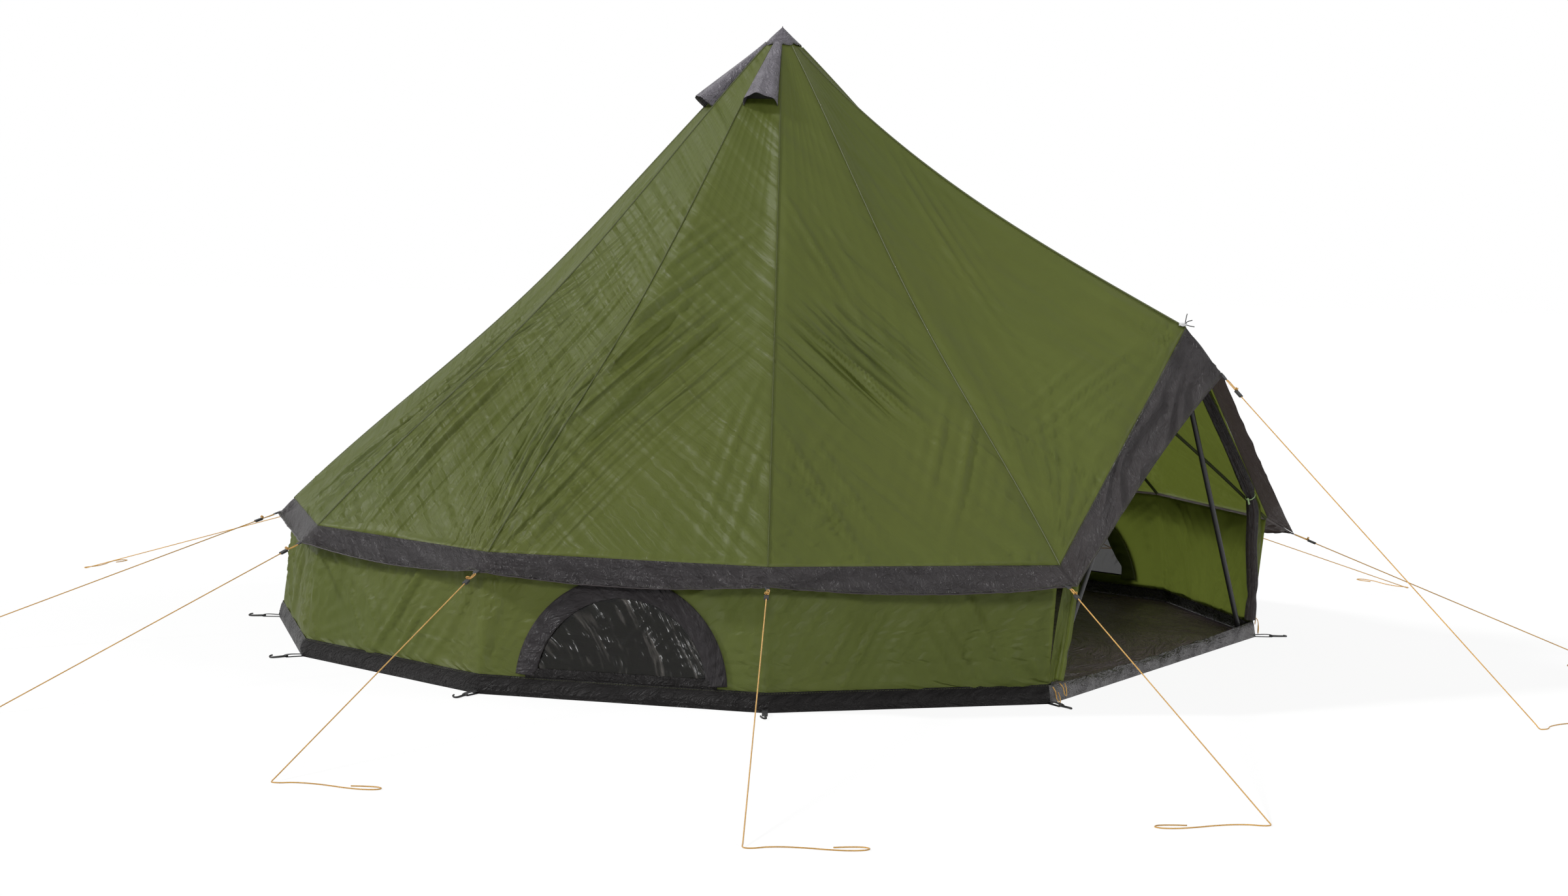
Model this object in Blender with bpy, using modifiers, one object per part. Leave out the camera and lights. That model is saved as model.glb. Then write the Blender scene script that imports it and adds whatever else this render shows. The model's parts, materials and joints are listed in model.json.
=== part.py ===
"""Round bell tent: one centre pole, an A-frame door pole and a low wall.

Metres, +Z up. The origin is on the ground under the centre pole, and the door faces -Y.
"""

import math

import bmesh
import bpy
from mathutils import Matrix, Vector

# Driving sizes: the fly sheet
PANELS_PER_SIDE = 5                   # wall panels from the door round to the back
DOOR_ANGLE = math.radians(60.0)       # plan angle that the door takes
BASE_RADIUS = 2.500                   # centre to a ground corner
DOOR_BASE_INSET = 0.040               # how much nearer the door's two ground corners are
TUB_HEIGHT = 0.080                    # upstand of the sewn-in groundsheet
TUB_LEAN = 0.020                      # how far its top edge leans in
EAVE_RADIUS = 2.4275                  # centre to a corner of the eave seam
DOOR_EAVE_REACH = 0.0725              # how much further out the door's two eave corners are
EAVE_HEIGHT = 0.6075
APEX_HEIGHT = 3.030                   # top of the apex cap
SEAM_SAG = 0.100                      # how far a roof seam hangs below its chord
PEAK_OVERHANG = 0.098                 # door peak beyond the door's straight eave
PEAK_HEIGHT = 1.600
RIDGE_SAG = 0.146                     # the same sag for the ridge to the door peak
VALANCE_REACH = 0.0825                # valance tip beyond the eave corner, and below it
DOOR_VALANCE_REACH = 0.050            # further reach of the tip at the door's corners
VALANCE_DROP = 0.075
VALANCE_SAG = 0.040                   # how far the hem hangs between two tips
VALANCE_TUCK = 0.030                  # how far it blows in there
VALANCE_STEPS = 4                     # facets of a panel's valance
AWNING_REACH = 0.190                  # tip of the door hood beyond the peak, and below it
AWNING_DROP = 0.215
AWNING_STEPS = 5
AWNING_SEAM = 0.0026                  # hood's sewn edge to the roof's edge

# Cloth and clearance
GAP = 0.0003
ROOF_CLOTH = 0.005
WALL_CLOTH = 0.004
WALL_INSET = 0.004                    # the wall hangs this far inside the eave seam
TUB_CLOTH = 0.004
TRIM_CLOTH = 0.003
ROOF_RING = 0.050                     # radius of the opening at the top of the roof
ROOF_STATIONS = 9
CAP_REACH = 0.088
CAP_CLOTH = 0.003
CAP_RISE = 0.012                      # crown of the apex cap above the roof seams' meeting point
CAP_CLEARANCE = 0.0015                # clear of the gores that turn to the door ridge
CAP_STATIONS = (0.16, 0.45, 0.73, 1.0)
CAP_SIDES = 24
SLOPE_STEP = 0.001                    # step over which a curve's slope is taken
PLAN_SLACK = 0.001                    # radians within which two plan directions are the same

# Windows, one on the second panel to each side of the door
WINDOW_PANEL = 1
WINDOW_RADIUS = 0.404                 # arc of the half-moon opening
WINDOW_SILL = 0.040                   # sill above the tub seam, up the panel
WINDOW_HEAD = 0.136                   # crown below the top of the panel
WINDOW_BORDER = 0.072
WINDOW_MESH = 0.002
WINDOW_STEPS = 18
WINDOW_CUT = 0.030                    # depth of its cutter to each side of the cloth

# Vent hoods on the gores between seams
VENT_AZIMUTHS = (135.0, 195.0, 345.0, 45.0)
VENT_TOP = CAP_REACH + 0.010          # seam radius where a hood starts, and where its mouth is
VENT_MOUTH = 0.375
VENT_TOP_HALF_WIDTH = 0.016
VENT_HALF_WIDTH = 0.083
VENT_TOP_RISE = 0.012
VENT_RISE = 0.085
VENT_CLOTH = 0.003
VENT_STATIONS = 5
VENT_SIDES = 12

# Centre pole
POLE_RADIUS = 0.016
POLE_WALL = 0.0016
POLE_SECTIONS = 4
POLE_SPIGOT = 0.070
SPIGOT_TAPER = 0.010                  # where the wall turns in to the spigot
POLE_FOOT_HEIGHT = 0.045
POLE_FOOT_RADIUS = 0.024
POLE_FOOT_FLOOR = 0.010
POLE_FOOT_EDGE = 0.008
POLE_FOOT_COLLAR = 0.003
POLE_PLUG_HEIGHT = 0.060
POLE_PLUG_RADIUS = 0.030
POLE_PLUG_FLANGE = 0.030
POLE_CROWN_RADIUS = 0.014
POLE_CAP_GAP = 2.5 * GAP
POLE_SIDES = 20

# A-frame door pole
LEG_RADIUS = 0.013
LEG_WALL = 0.0014
LEG_LOWER = 0.560                     # length of the lower section that shows
LEG_SPIGOT = 0.060
LEG_FOOT_INSET = 0.080                # foot in from the ground corner, along the sill
LEG_FOOT_SET_BACK = 0.091             # foot behind the eave's straight edge
LEG_TOP_SET_BACK = 0.070              # top behind the door peak
LEG_BEND = 0.075                      # bend of the joiner, measured along each leg
LEG_BEND_STEPS = 8
LEG_FOOT_RADIUS = 0.018
LEG_FOOT_HEIGHT = 0.030
LEG_FOOT_FLOOR = 0.004
LEG_SIDES = 16

# Door flaps, tied back as bundles of folds
FLAP_RADIUS = 0.034
FLAP_TOP_SHARE = 0.55                 # radius at the ends, of the full one
FLAP_FOLDS = 6
FLAP_FOLD_DEPTH = 0.24
FLAP_STATIONS = 22
FLAP_SIDES = 36
# Upper part of a flap's centreline: share down the roof's edge at the door, drop below it, step in
FLAP_UPPER = ((0.103, 0.068, 0.025), (0.371, 0.067, 0.009), (0.659, 0.070, 0.002), (0.815, 0.095, 0.004))
# Lower part: share of the way up the wall's door edge, step in along the sill, step out of the door
FLAP_LOWER = ((0.739, 0.136, -0.012), (0.341, 0.074, 0.002), (0.028, 0.062, 0.010))
FLAP_SEWN = 0.90                      # share of the roof's edge that a flap is sewn to
FLAP_SELVEDGE = 0.003                 # cloth from the bundle up to that edge
TIE_DEPTH = 0.35                      # how far a tie draws the flap in
TIE_SPREAD = 0.035
TOGGLE_LENGTH = 0.040
TOGGLE_RADIUS = 0.0055
TOGGLE_RIM = 0.002
TOGGLE_END = 0.70                     # end and waist radius, of the full one
TOGGLE_WAIST = 0.72
TOGGLE_SIDES = 12
TOGGLE_STATION = 0.60                 # place along the flap, from its top
TOGGLE_CLEARANCE = 0.0025             # toggle beside the flap at its tie, with room to turn
TIE_STUB_RADIUS = 0.0035              # end of the tie that the toggle turns on
TIE_STUB_ROOT = 0.010                 # its start below the flap's surface
TIE_STUB_SIDES = 16

# Guy lines
CORD_RADIUS = 0.0025
TAB_LENGTH = 0.050
TAB_WIDTH = 0.025
TAB_CLOTH = 0.003
TAB_LAP = 0.022                       # length of a tab that is sewn under the hem
RUNNER_LENGTH = 0.044
RUNNER_WIDTH = 0.020
RUNNER_HEIGHT = 0.010
RUNNER_ROUNDING = 0.0025
RUNNER_PLAY = 0.0006                  # bore round the cord
RUNNER_DISTANCE = 0.095               # tab end to runner centre
ZIP_LENGTH = 0.034
ZIP_WIDTH = 0.010
ZIP_HEIGHT = 0.004
ZIP_MARGIN = 0.016                    # zip outside the window's arc
ZIP_REST_ANGLE = math.radians(14.0)

# Each line's ground end, from the left of the door round the back to its right: turn from its corner's
# azimuth in degrees, reach beyond the valance tip, and the side of its loose tail
GUY_ENDS = ((-8.4, 2.23, -1), (-0.5, 2.52, 1), (6.8, 1.98, 1), (12.5, 1.77, -1), (20.6, 1.74, 1),
            (6.0, 1.79, -1), (0.0, 1.79, 1), (0.0, 1.79, -1), (0.0, 1.79, 1), (-0.7, 1.70, 1), (-5.7, 1.39, -1))
HOOD_END = (-7.7, 1.71, 1)            # the same for the line from the door hood's tip
DOOR_TAB_SHIFT = 0.040                # how far a door corner's tab sits along the hem
TAUT_POINTS = 8                       # points along the taut stretch of a line
TAIL_POINTS = 18
TOUCH_DOWN = 0.030                    # stretch over which a line turns to lie on the ground
# Loose tail of a line on the ground, in metres along and across its own direction
TAIL_ROUTE = ((0.018, 0.012), (0.016, 0.040), (-0.004, 0.080), (-0.012, 0.140), (-0.004, 0.210),
              (0.012, 0.280), (0.020, 0.345), (0.010, 0.400), (-0.014, 0.420), (-0.036, 0.400),
              (-0.034, 0.350), (-0.022, 0.300))

GREEN = (0.115, 0.150, 0.040, 1.0)
GREY = (0.070, 0.064, 0.068, 1.0)
BLACK = (0.012, 0.012, 0.013, 1.0)
STEEL = (0.55, 0.56, 0.57, 1.0)
ORANGE = (0.75, 0.42, 0.08, 1.0)
PALE_GREEN = (0.42, 0.55, 0.30, 1.0)


def plan(radius, azimuth, height):
    """A point at a plan azimuth in radians."""
    return Vector((radius * math.cos(azimuth), radius * math.sin(azimuth), height))


def panel_step():
    return (math.pi - DOOR_ANGLE / 2) / PANELS_PER_SIDE


def corner_azimuths():
    """The corners in order, from the left of the door round the back to its right."""
    first = 1.5 * math.pi - DOOR_ANGLE / 2
    return [first - index * panel_step() for index in range(2 * PANELS_PER_SIDE + 1)]


def at_door(azimuth):
    """Whether a corner is one of the door's two."""
    return min(abs(azimuth - corner) for corner in (corner_azimuths()[0], corner_azimuths()[-1])) < PLAN_SLACK


def base_radius(azimuth):
    return BASE_RADIUS - (DOOR_BASE_INSET if at_door(azimuth) else 0.0)


def eave_radius(azimuth):
    return EAVE_RADIUS + (DOOR_EAVE_REACH if at_door(azimuth) else 0.0)


def roof_crown():
    """Height at which the roof seams would meet."""
    return APEX_HEIGHT - CAP_RISE


def peak_reach():
    """Distance from the centre to the door peak."""
    return EAVE_RADIUS * math.cos(DOOR_ANGLE / 2) + PEAK_OVERHANG


def door_peak():
    return plan(peak_reach(), 1.5 * math.pi, PEAK_HEIGHT)


def hood_tip():
    return plan(peak_reach() + AWNING_REACH, 1.5 * math.pi, PEAK_HEIGHT - AWNING_DROP)


def eave_corner(azimuth):
    return plan(eave_radius(azimuth), azimuth, EAVE_HEIGHT)


def valance_tip(azimuth):
    reach = VALANCE_REACH + (DOOR_VALANCE_REACH if at_door(azimuth) else 0.0)
    return plan(eave_radius(azimuth) + reach, azimuth, EAVE_HEIGHT - VALANCE_DROP)


def seam_point(azimuth, radius):
    """A point of a roof seam at a distance from the centre."""
    share = radius / eave_radius(azimuth)
    drop = (roof_crown() - EAVE_HEIGHT) * share + SEAM_SAG * math.sin(math.pi * share) ** 2
    return plan(radius, azimuth, roof_crown() - drop)


def ridge_point(radius):
    """A point of the ridge that runs down to the door peak."""
    share = radius / peak_reach()
    sag = RIDGE_SAG * math.sin(math.pi * share ** 0.75)
    drop = (roof_crown() - PEAK_HEIGHT) * share + sag
    return plan(radius, 1.5 * math.pi, roof_crown() - drop)


def parts_collection(name):
    found = bpy.data.collections.get(name)
    if found is None:
        found = bpy.data.collections.new(name)
        bpy.context.scene.collection.children.link(found)
    return found


def material(name, colour, roughness, metallic=0.0):
    found = bpy.data.materials.get(name)
    if found is None:
        found = bpy.data.materials.new(name)
        found.use_nodes = True
        shader = found.node_tree.nodes["Principled BSDF"]
        shader.inputs["Base Color"].default_value = colour
        shader.inputs["Roughness"].default_value = roughness
        shader.inputs["Metallic"].default_value = metallic
    return found


def canopy_cloth():
    return material("green_canopy_cloth", GREEN, 0.6)


def trim_cloth():
    return material("grey_trim_cloth", GREY, 0.6)


def black_plastic():
    return material("black_plastic", BLACK, 0.45)


def add_object(name, mesh, finish, cutter=False):
    made = bpy.data.objects.new(name, mesh)
    parts_collection("cutters" if cutter else "round_tent").objects.link(made)
    if cutter:
        made.hide_render = True
        made.display_type = "WIRE"
    elif finish is not None:
        mesh.materials.append(finish)
    return made


def loft_into(bm, sections, closed=False):
    """Bridge like sections, each a loop of points, and cap the two ends."""
    rings = [[bm.verts.new(point) for point in section] for section in sections]
    spans = list(zip(rings, rings[1:]))
    if closed:
        spans.append((rings[-1], rings[0]))
    faces = []
    for near, far in spans:
        for index in range(len(near)):
            after = (index + 1) % len(near)
            faces.append(bm.faces.new((near[index], near[after], far[after], far[index])))
    if not closed:
        faces.append(bm.faces.new(rings[0][::-1]))
        faces.append(bm.faces.new(rings[-1]))
    bmesh.ops.recalc_face_normals(bm, faces=faces)
    return faces


def loft(name, sections, finish, closed=False, smooth=None, cutter=False):
    bm = bmesh.new()
    loft_into(bm, sections, closed)
    bmesh.ops.triangulate(bm, faces=bm.faces[:], quad_method="SHORT_EDGE")
    mesh = bpy.data.meshes.new(name)
    bm.to_mesh(mesh)
    bm.free()
    if smooth is not None:
        mesh.shade_smooth()
        mesh.set_sharp_from_angle(angle=math.radians(smooth))
    return add_object(name, mesh, finish, cutter)


def turned(name, profile, finish, place=None, sides=POLE_SIDES):
    """A profile of (radius, height) points, outer side first from the top, spun about Z."""
    bm = bmesh.new()
    verts = [bm.verts.new((radius, 0.0, height)) for radius, height in profile]
    on_axis = profile[0][0] == 0.0
    pairs = list(zip(verts, verts[1:]))
    if not on_axis:
        pairs.append((verts[-1], verts[0]))
    for first, second in pairs:
        bm.edges.new((first, second))
    mesh = bpy.data.meshes.new(name)
    bm.to_mesh(mesh)
    bm.free()
    made = add_object(name, mesh, finish)
    screw = made.modifiers.new("turn", "SCREW")
    screw.steps = sides
    screw.render_steps = sides
    screw.use_merge_vertices = True
    screw.merge_threshold = 0.00001
    screw.use_smooth_shade = True
    if place is not None:
        made.matrix_world = place
    return made


def mirrored(points):
    return [Vector((-point.x, point.y, point.z)) for point in points]


def cut(target, cutter, operation="DIFFERENCE"):
    change = target.modifiers.new(cutter.name, "BOOLEAN")
    change.operation = operation
    change.solver = "EXACT"
    change.object = cutter


def half_azimuths():
    """The corners of the left half, from the door to the back."""
    return corner_azimuths()[: PANELS_PER_SIDE + 1]


def hold_off_centre(points):
    """Keep the points of a section on the tent's plane of symmetry half a gap off it."""
    return [Vector((-GAP / 2 if abs(p.x) < GAP else p.x, p.y, p.z)) for p in points]


def half_name(name, side):
    return f"{name}_{'left' if side == 0 else 'right'}"


def roof_radii(last):
    """Distances from the centre of the roof's stations down one seam."""
    return [ROOF_RING + (last - ROOF_RING) * step / (ROOF_STATIONS - 1)
            for step in range(ROOF_STATIONS)]


def roof_section(curve, last):
    """Outer points down the curve and inner points back up, one cloth apart."""
    radii = roof_radii(last)
    outer = [curve(radius) for radius in radii]
    inner = []
    for radius, point in zip(radii, outer):
        slope = curve(radius + SLOPE_STEP) - curve(radius - SLOPE_STEP)
        flat = math.hypot(slope.x, slope.y)
        out = Vector((point.x, point.y, 0.0)).normalized()
        normal = Vector((out.x * -slope.z, out.y * -slope.z, flat)).normalized()
        inner.append(point - normal * ROOF_CLOTH)
    return outer + inner[::-1]


def make_roof():
    for side in (0, 1):
        azimuths = half_azimuths()
        sections = [roof_section(ridge_point, peak_reach())]
        for azimuth in azimuths:
            sections.append(roof_section(lambda radius: seam_point(azimuth, radius), eave_radius(azimuth)))
        sections = [hold_off_centre(section) for section in sections]
        if side == 1:
            sections = [mirrored(section) for section in sections]
        loft(half_name("roof", side), sections, canopy_cloth())


def offset_path(points, distance):
    """Move an open plan path towards the centre by a distance square to each side."""
    lines = []
    for first, second in zip(points, points[1:]):
        along = (second - first).normalized()
        square = Vector((-along.y, along.x, 0.0)).normalized()
        if square.dot(first + second) > 0:
            square = -square
        lines.append((first + square * distance, along))
    moved = [lines[0][0]]
    for (start, along), (other, across) in zip(lines, lines[1:]):
        spread = along.x * across.y - along.y * across.x
        reach = ((other.x - start.x) * across.y - (other.y - start.y) * across.x) / spread
        moved.append(start + along * reach)
    last, along = lines[-1]
    moved.append(last + along * (points[-1] - points[-2]).length)
    return [Vector((p.x, p.y, q.z)) for p, q in zip(moved, points)]


def eave_slope():
    """Fall of a roof seam per metre outwards at the eave."""
    return (seam_point(0.0, EAVE_RADIUS - SLOPE_STEP).z - EAVE_HEIGHT) / SLOPE_STEP


def wall_top_height():
    """The wall's top edge lies under the roof's lining, a gap below it."""
    fall = eave_slope()
    return EAVE_HEIGHT - (ROOF_CLOTH + 2 * GAP) * math.hypot(1.0, fall) + WALL_INSET * fall


def wall_rings():
    """Outer and inner plan paths at the foot and at the top of the left half of the wall."""
    azimuths = corner_azimuths()
    foot = [plan(base_radius(azimuth) - TUB_LEAN, azimuth, TUB_HEIGHT + GAP) for azimuth in azimuths]
    seam = [plan(eave_radius(azimuth), azimuth, wall_top_height()) for azimuth in azimuths]
    top = offset_path(seam, WALL_INSET)
    paths = foot, top, offset_path(foot, WALL_CLOTH), offset_path(top, WALL_CLOTH)
    return [path[: PANELS_PER_SIDE + 1] for path in paths]


def make_wall():
    for side in (0, 1):
        foot, top, foot_in, top_in = wall_rings()
        sections = [list(loop) for loop in zip(foot, top, top_in, foot_in)]
        sections = [hold_off_centre(section) for section in sections]
        if side == 1:
            sections = [mirrored(section) for section in sections]
        wall = loft(half_name("wall", side), sections, canopy_cloth())
        cut(wall, window_plate(half_name("window_cutter", side), side, WINDOW_RADIUS,
                               -WINDOW_CUT, WINDOW_CUT, 0.0, cutter=True))


def panel_frame(side):
    """Frame on the window's wall panel: X along it, Y up it, Z outwards, origin at its foot."""
    foot, top, _, _ = wall_rings()
    first, second = foot[WINDOW_PANEL], foot[WINDOW_PANEL + 1]
    upper = (top[WINDOW_PANEL] + top[WINDOW_PANEL + 1]) / 2
    origin = (first + second) / 2
    along = (second - first).normalized()
    up = (upper - origin).normalized()
    out = along.cross(up).normalized()
    if side == 1:
        origin.x, along.x, up.x, out.x = -origin.x, -along.x, -up.x, -out.x
    if out.dot(origin) < 0:
        out = -out
    return Matrix((
        (along.x, up.x, out.x, origin.x),
        (along.y, up.y, out.y, origin.y),
        (along.z, up.z, out.z, origin.z),
        (0.0, 0.0, 0.0, 1.0),
    ))


def window_centre():
    """Height of the arc's centre up the panel."""
    foot, top, _, _ = wall_rings()
    first = (foot[WINDOW_PANEL] + foot[WINDOW_PANEL + 1]) / 2
    last = (top[WINDOW_PANEL] + top[WINDOW_PANEL + 1]) / 2
    return (last - first).length - WINDOW_HEAD - WINDOW_RADIUS


def arc_points(radius, sill, steps):
    """The arc from its right end on the sill line to its left end."""
    centre = window_centre()
    start = math.asin((sill - centre) / radius)
    sweep = math.pi - 2 * start
    return [
        (radius * math.cos(start + sweep * step / steps),
         centre + radius * math.sin(start + sweep * step / steps))
        for step in range(steps + 1)
    ]


def window_plate(name, side, radius, low, high, shrink, cutter=False, finish=None):
    """The half-moon as a plate between two distances from the panel's outer face."""
    frame = panel_frame(side)
    outline = arc_points(radius - shrink, WINDOW_SILL + shrink, WINDOW_STEPS)
    sections = [[frame @ Vector((x, y, depth)) for x, y in outline] for depth in (low, high)]
    return loft(name, sections, finish, cutter=cutter)


def make_windows():
    mesh_finish = material("window_mesh", BLACK, 0.5)
    middle = -WALL_CLOTH / 2
    for side in (0, 1):
        window_plate(half_name("window_mesh", side), side, WINDOW_RADIUS,
                     middle - WINDOW_MESH / 2, middle + WINDOW_MESH / 2, GAP, finish=mesh_finish)
        frame = panel_frame(side)
        inner = arc_points(WINDOW_RADIUS, WINDOW_SILL, WINDOW_STEPS)
        outer = arc_points(WINDOW_RADIUS + WINDOW_BORDER, WINDOW_SILL, WINDOW_STEPS)
        sections = []
        for near, far in zip(inner, outer):
            loop = ((near, GAP), (far, GAP), (far, GAP + TRIM_CLOTH), (near, GAP + TRIM_CLOTH))
            sections.append([frame @ Vector((x, y, depth)) for (x, y), depth in loop])
        loft(half_name("window_border", side), sections, trim_cloth())


def make_groundsheet():
    """Floor and upstand in one, with a straight sill across the door."""
    azimuths = corner_azimuths()
    outer = [plan(base_radius(azimuth), azimuth, 0.0) for azimuth in azimuths]
    rim = [plan(base_radius(azimuth) - TUB_LEAN, azimuth, TUB_HEIGHT) for azimuth in azimuths]

    def inset(ring, height):
        closed = offset_path([ring[-1]] + ring + [ring[0]], TUB_CLOTH)[1:-1]
        return [Vector((point.x, point.y, height)) for point in closed]

    rings = [outer, rim, inset(rim, TUB_HEIGHT), inset(outer, TUB_CLOTH)]
    loft("groundsheet", rings, material("groundsheet", BLACK, 0.5))


def hem_points():
    """Upper and lower points of the valance, a few to each panel."""
    azimuths = corner_azimuths()
    upper, lower = [], []
    for first, second in zip(azimuths, azimuths[1:]):
        for step in range(VALANCE_STEPS):
            share = step / VALANCE_STEPS
            bow = 4 * share * (1 - share)
            tip = valance_tip(first).lerp(valance_tip(second), share)
            inward = Vector((tip.x, tip.y, 0.0)).normalized() * VALANCE_TUCK
            upper.append(eave_corner(first).lerp(eave_corner(second), share))
            lower.append(tip - (inward + Vector((0.0, 0.0, VALANCE_SAG))) * bow)
    upper.append(eave_corner(azimuths[-1]))
    lower.append(valance_tip(azimuths[-1]))
    return upper, lower


def make_valance():
    fall = eave_slope()
    sections = []
    for top, tip in zip(*hem_points()):
        out = Vector((top.x, top.y, 0.0)).normalized()
        run = (tip - top).normalized()
        start = top + out * 2 * GAP - Vector((0.0, 0.0, 2 * GAP * fall)) + run * GAP
        under = (out * run.z - Vector((0.0, 0.0, 1.0)) * run.dot(out)).normalized() * TRIM_CLOTH
        sections.append([start, tip, tip + under, start + under + run * TRIM_CLOTH / 3])
    valance = loft("eave_valance", sections, trim_cloth())
    cut(valance, webbing_tabs("valance_tabs", guy_seats()[:-1]), "UNION")


def make_awning():
    """The door hood: a strip sewn along the roof's edge from one eave corner over the peak."""
    corner = corner_azimuths()[0]
    rows = []
    for step in range(AWNING_STEPS + 1):
        share = step / AWNING_STEPS
        rows.append((eave_corner(corner).lerp(door_peak(), share), valance_tip(corner).lerp(hood_tip(), share)))
    rows += [mirrored(row) for row in rows[-2::-1]]
    sections = []
    for index, (top, low) in enumerate(rows):
        run = (low - top).normalized()
        before = rows[max(index - 1, 0)][0]
        after = rows[min(index + 1, len(rows) - 1)][0]
        edge = (after - before).normalized()
        under = edge.cross(run).normalized()
        if under.z > 0:
            under = -under
        start = top + run * AWNING_SEAM
        sections.append([start, low, low + under * TRIM_CLOTH, start + under * TRIM_CLOTH])
    hood = loft("door_hood", sections, trim_cloth())
    cut(hood, webbing_tabs("hood_tab", guy_seats()[-1:]), "UNION")


def guy_seats():
    """Each line's tab: the point of the hem that it pulls on and the way that it pulls.

    The corners come in their order, and the tip of the door hood comes last.
    """
    azimuths = corner_azimuths()
    tips = [valance_tip(azimuth) for azimuth in azimuths]
    for end, inner in ((0, 1), (-1, -2)):
        tips[end] = tips[end] + (tips[inner] - tips[end]).normalized() * DOOR_TAB_SHIFT
    ends = [GUY_ENDS[index % len(GUY_ENDS)] for index in range(len(azimuths))]
    lines = list(zip(tips, azimuths, ends)) + [(hood_tip(), 1.5 * math.pi, HOOD_END)]
    seats = []
    for tip, azimuth, (turn, reach, side) in lines:
        distance = math.hypot(tip.x, tip.y) + reach
        ground = plan(distance, azimuth + math.radians(turn), CORD_RADIUS + GAP)
        seats.append((tip, (ground - tip).normalized(), ground, side))
    return seats


def line_frame(point, along):
    """A frame with X along the line, Y level and Z the way up that is left."""
    level = Vector((-along.y, along.x, 0.0)).normalized()
    up = along.cross(level).normalized()
    if up.z < 0:
        level, up = -level, -up
    return Matrix((
        (along.x, level.x, up.x, point.x),
        (along.y, level.y, up.y, point.y),
        (along.z, level.z, up.z, point.z),
        (0.0, 0.0, 0.0, 1.0),
    ))


def box_points(length, width, height):
    """Corners of a box about the origin, as two end loops."""
    sides = ((-1, -1), (1, -1), (1, 1), (-1, 1))
    return [[Vector((x * length / 2, y * width / 2, z * height / 2)) for y, z in sides]
            for x in (-1, 1)]


def webbing_tabs(name, seats):
    """Flat webbing tabs that hold the lines, all in one cutter."""
    bm = bmesh.new()
    for tip, along, _, _ in seats:
        frame = line_frame(tip + along * (TAB_LENGTH / 2 - TAB_LAP), along)
        ends = box_points(TAB_LENGTH, TAB_WIDTH, TAB_CLOTH)
        loft_into(bm, [[frame @ point for point in loop] for loop in ends])
    mesh = bpy.data.meshes.new(name)
    bm.to_mesh(mesh)
    bm.free()
    return add_object(name, mesh, None, cutter=True)


def smooth_route(points, count):
    """Points evenly placed on a smooth curve through the route's own points."""
    dense = []
    padded = [points[0] * 2 - points[1]] + list(points) + [points[-1] * 2 - points[-2]]
    for a, b, c, d in zip(padded, padded[1:], padded[2:], padded[3:]):
        for step in range(12):
            t = step / 12
            dense.append(0.5 * (2 * b + (c - a) * t + (2 * a - 5 * b + 4 * c - d) * t ** 2
                                + (3 * b - a - 3 * c + d) * t ** 3))
    dense.append(points[-1])
    reach = [0.0]
    for near, far in zip(dense, dense[1:]):
        reach.append(reach[-1] + (far - near).length)
    found, index = [], 0
    for step in range(count):
        want = reach[-1] * step / (count - 1)
        while index < len(dense) - 2 and reach[index + 1] < want:
            index += 1
        share = (want - reach[index]) / (reach[index + 1] - reach[index])
        found.append(dense[index].lerp(dense[index + 1], share))
    return found


def line_route(seat):
    """Centreline of a line: taut from its tab to the ground, then its loose tail."""
    tip, along, ground, side = seat
    start = tip + along * (TAB_LENGTH - TAB_LAP + 1.5 * GAP)
    ahead = Vector((along.x, along.y, 0.0)).normalized()
    across = Vector((-ahead.y, ahead.x, 0.0)) * side
    taut = [start.lerp(ground, step / TAUT_POINTS) for step in range(TAUT_POINTS)]
    loose = [ground - along * TOUCH_DOWN, ground]
    loose += [ground + ahead * run + across * off for run, off in TAIL_ROUTE]
    return taut[:-1] + smooth_route(loose, TAIL_POINTS)


def tube_curve(name, points, radius, finish):
    """A round cord or rod with filled ends."""
    curve = bpy.data.curves.new(name, "CURVE")
    curve.dimensions = "3D"
    curve.bevel_depth = radius
    curve.bevel_resolution = 2
    curve.use_fill_caps = True
    spline = curve.splines.new("POLY")
    spline.points.add(len(points) - 1)
    for slot, point in zip(spline.points, points):
        slot.co = (*point, 1.0)
    return add_object(name, curve, finish)


def runner_centre(seat):
    tip, along, _, _ = seat
    return tip + along * (TAB_LENGTH - TAB_LAP + RUNNER_DISTANCE)


def make_runner(index, place):
    """A runner with its cord's bore, in the line's frame."""
    runner = loft(f"runner_{index:02d}", box_points(RUNNER_LENGTH, RUNNER_WIDTH, RUNNER_HEIGHT),
                  black_plastic())
    runner.matrix_world = place
    bevel = runner.modifiers.new("rounding", "BEVEL")
    bevel.width = RUNNER_ROUNDING
    bevel.segments = 2
    bpy.ops.mesh.primitive_cylinder_add(vertices=12, radius=CORD_RADIUS + RUNNER_PLAY,
                                        depth=2 * RUNNER_LENGTH)
    bore = bpy.context.object
    bore.name = f"runner_bore_{index:02d}"
    for owner in list(bore.users_collection):
        owner.objects.unlink(bore)
    parts_collection("cutters").objects.link(bore)
    bore.hide_render = True
    bore.display_type = "WIRE"
    bore.matrix_world = place @ Matrix.Rotation(math.pi / 2, 4, "Y")
    cut(runner, bore)


def make_guy_lines():
    cord = material("orange_cord", ORANGE, 0.7)
    for index, seat in enumerate(guy_seats()):
        tube_curve(f"guy_line_{index:02d}", line_route(seat), CORD_RADIUS, cord)
        make_runner(index, line_frame(runner_centre(seat), seat[1]))


def roof_line(azimuth, radius):
    """Height of a roof seam's straight-sided solid at a distance from the centre."""
    radii = roof_radii(eave_radius(azimuth))
    for near, far in zip(radii, radii[1:]):
        if radius <= far:
            share = (radius - near) / (far - near)
            return seam_point(azimuth, near).lerp(seam_point(azimuth, far), share)
    return eave_corner(azimuth)


def cap_lining(radius):
    """Height of the apex cap's inner face, over the highest seams."""
    return roof_line(corner_azimuths()[0], radius).z + CAP_CLEARANCE


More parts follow.
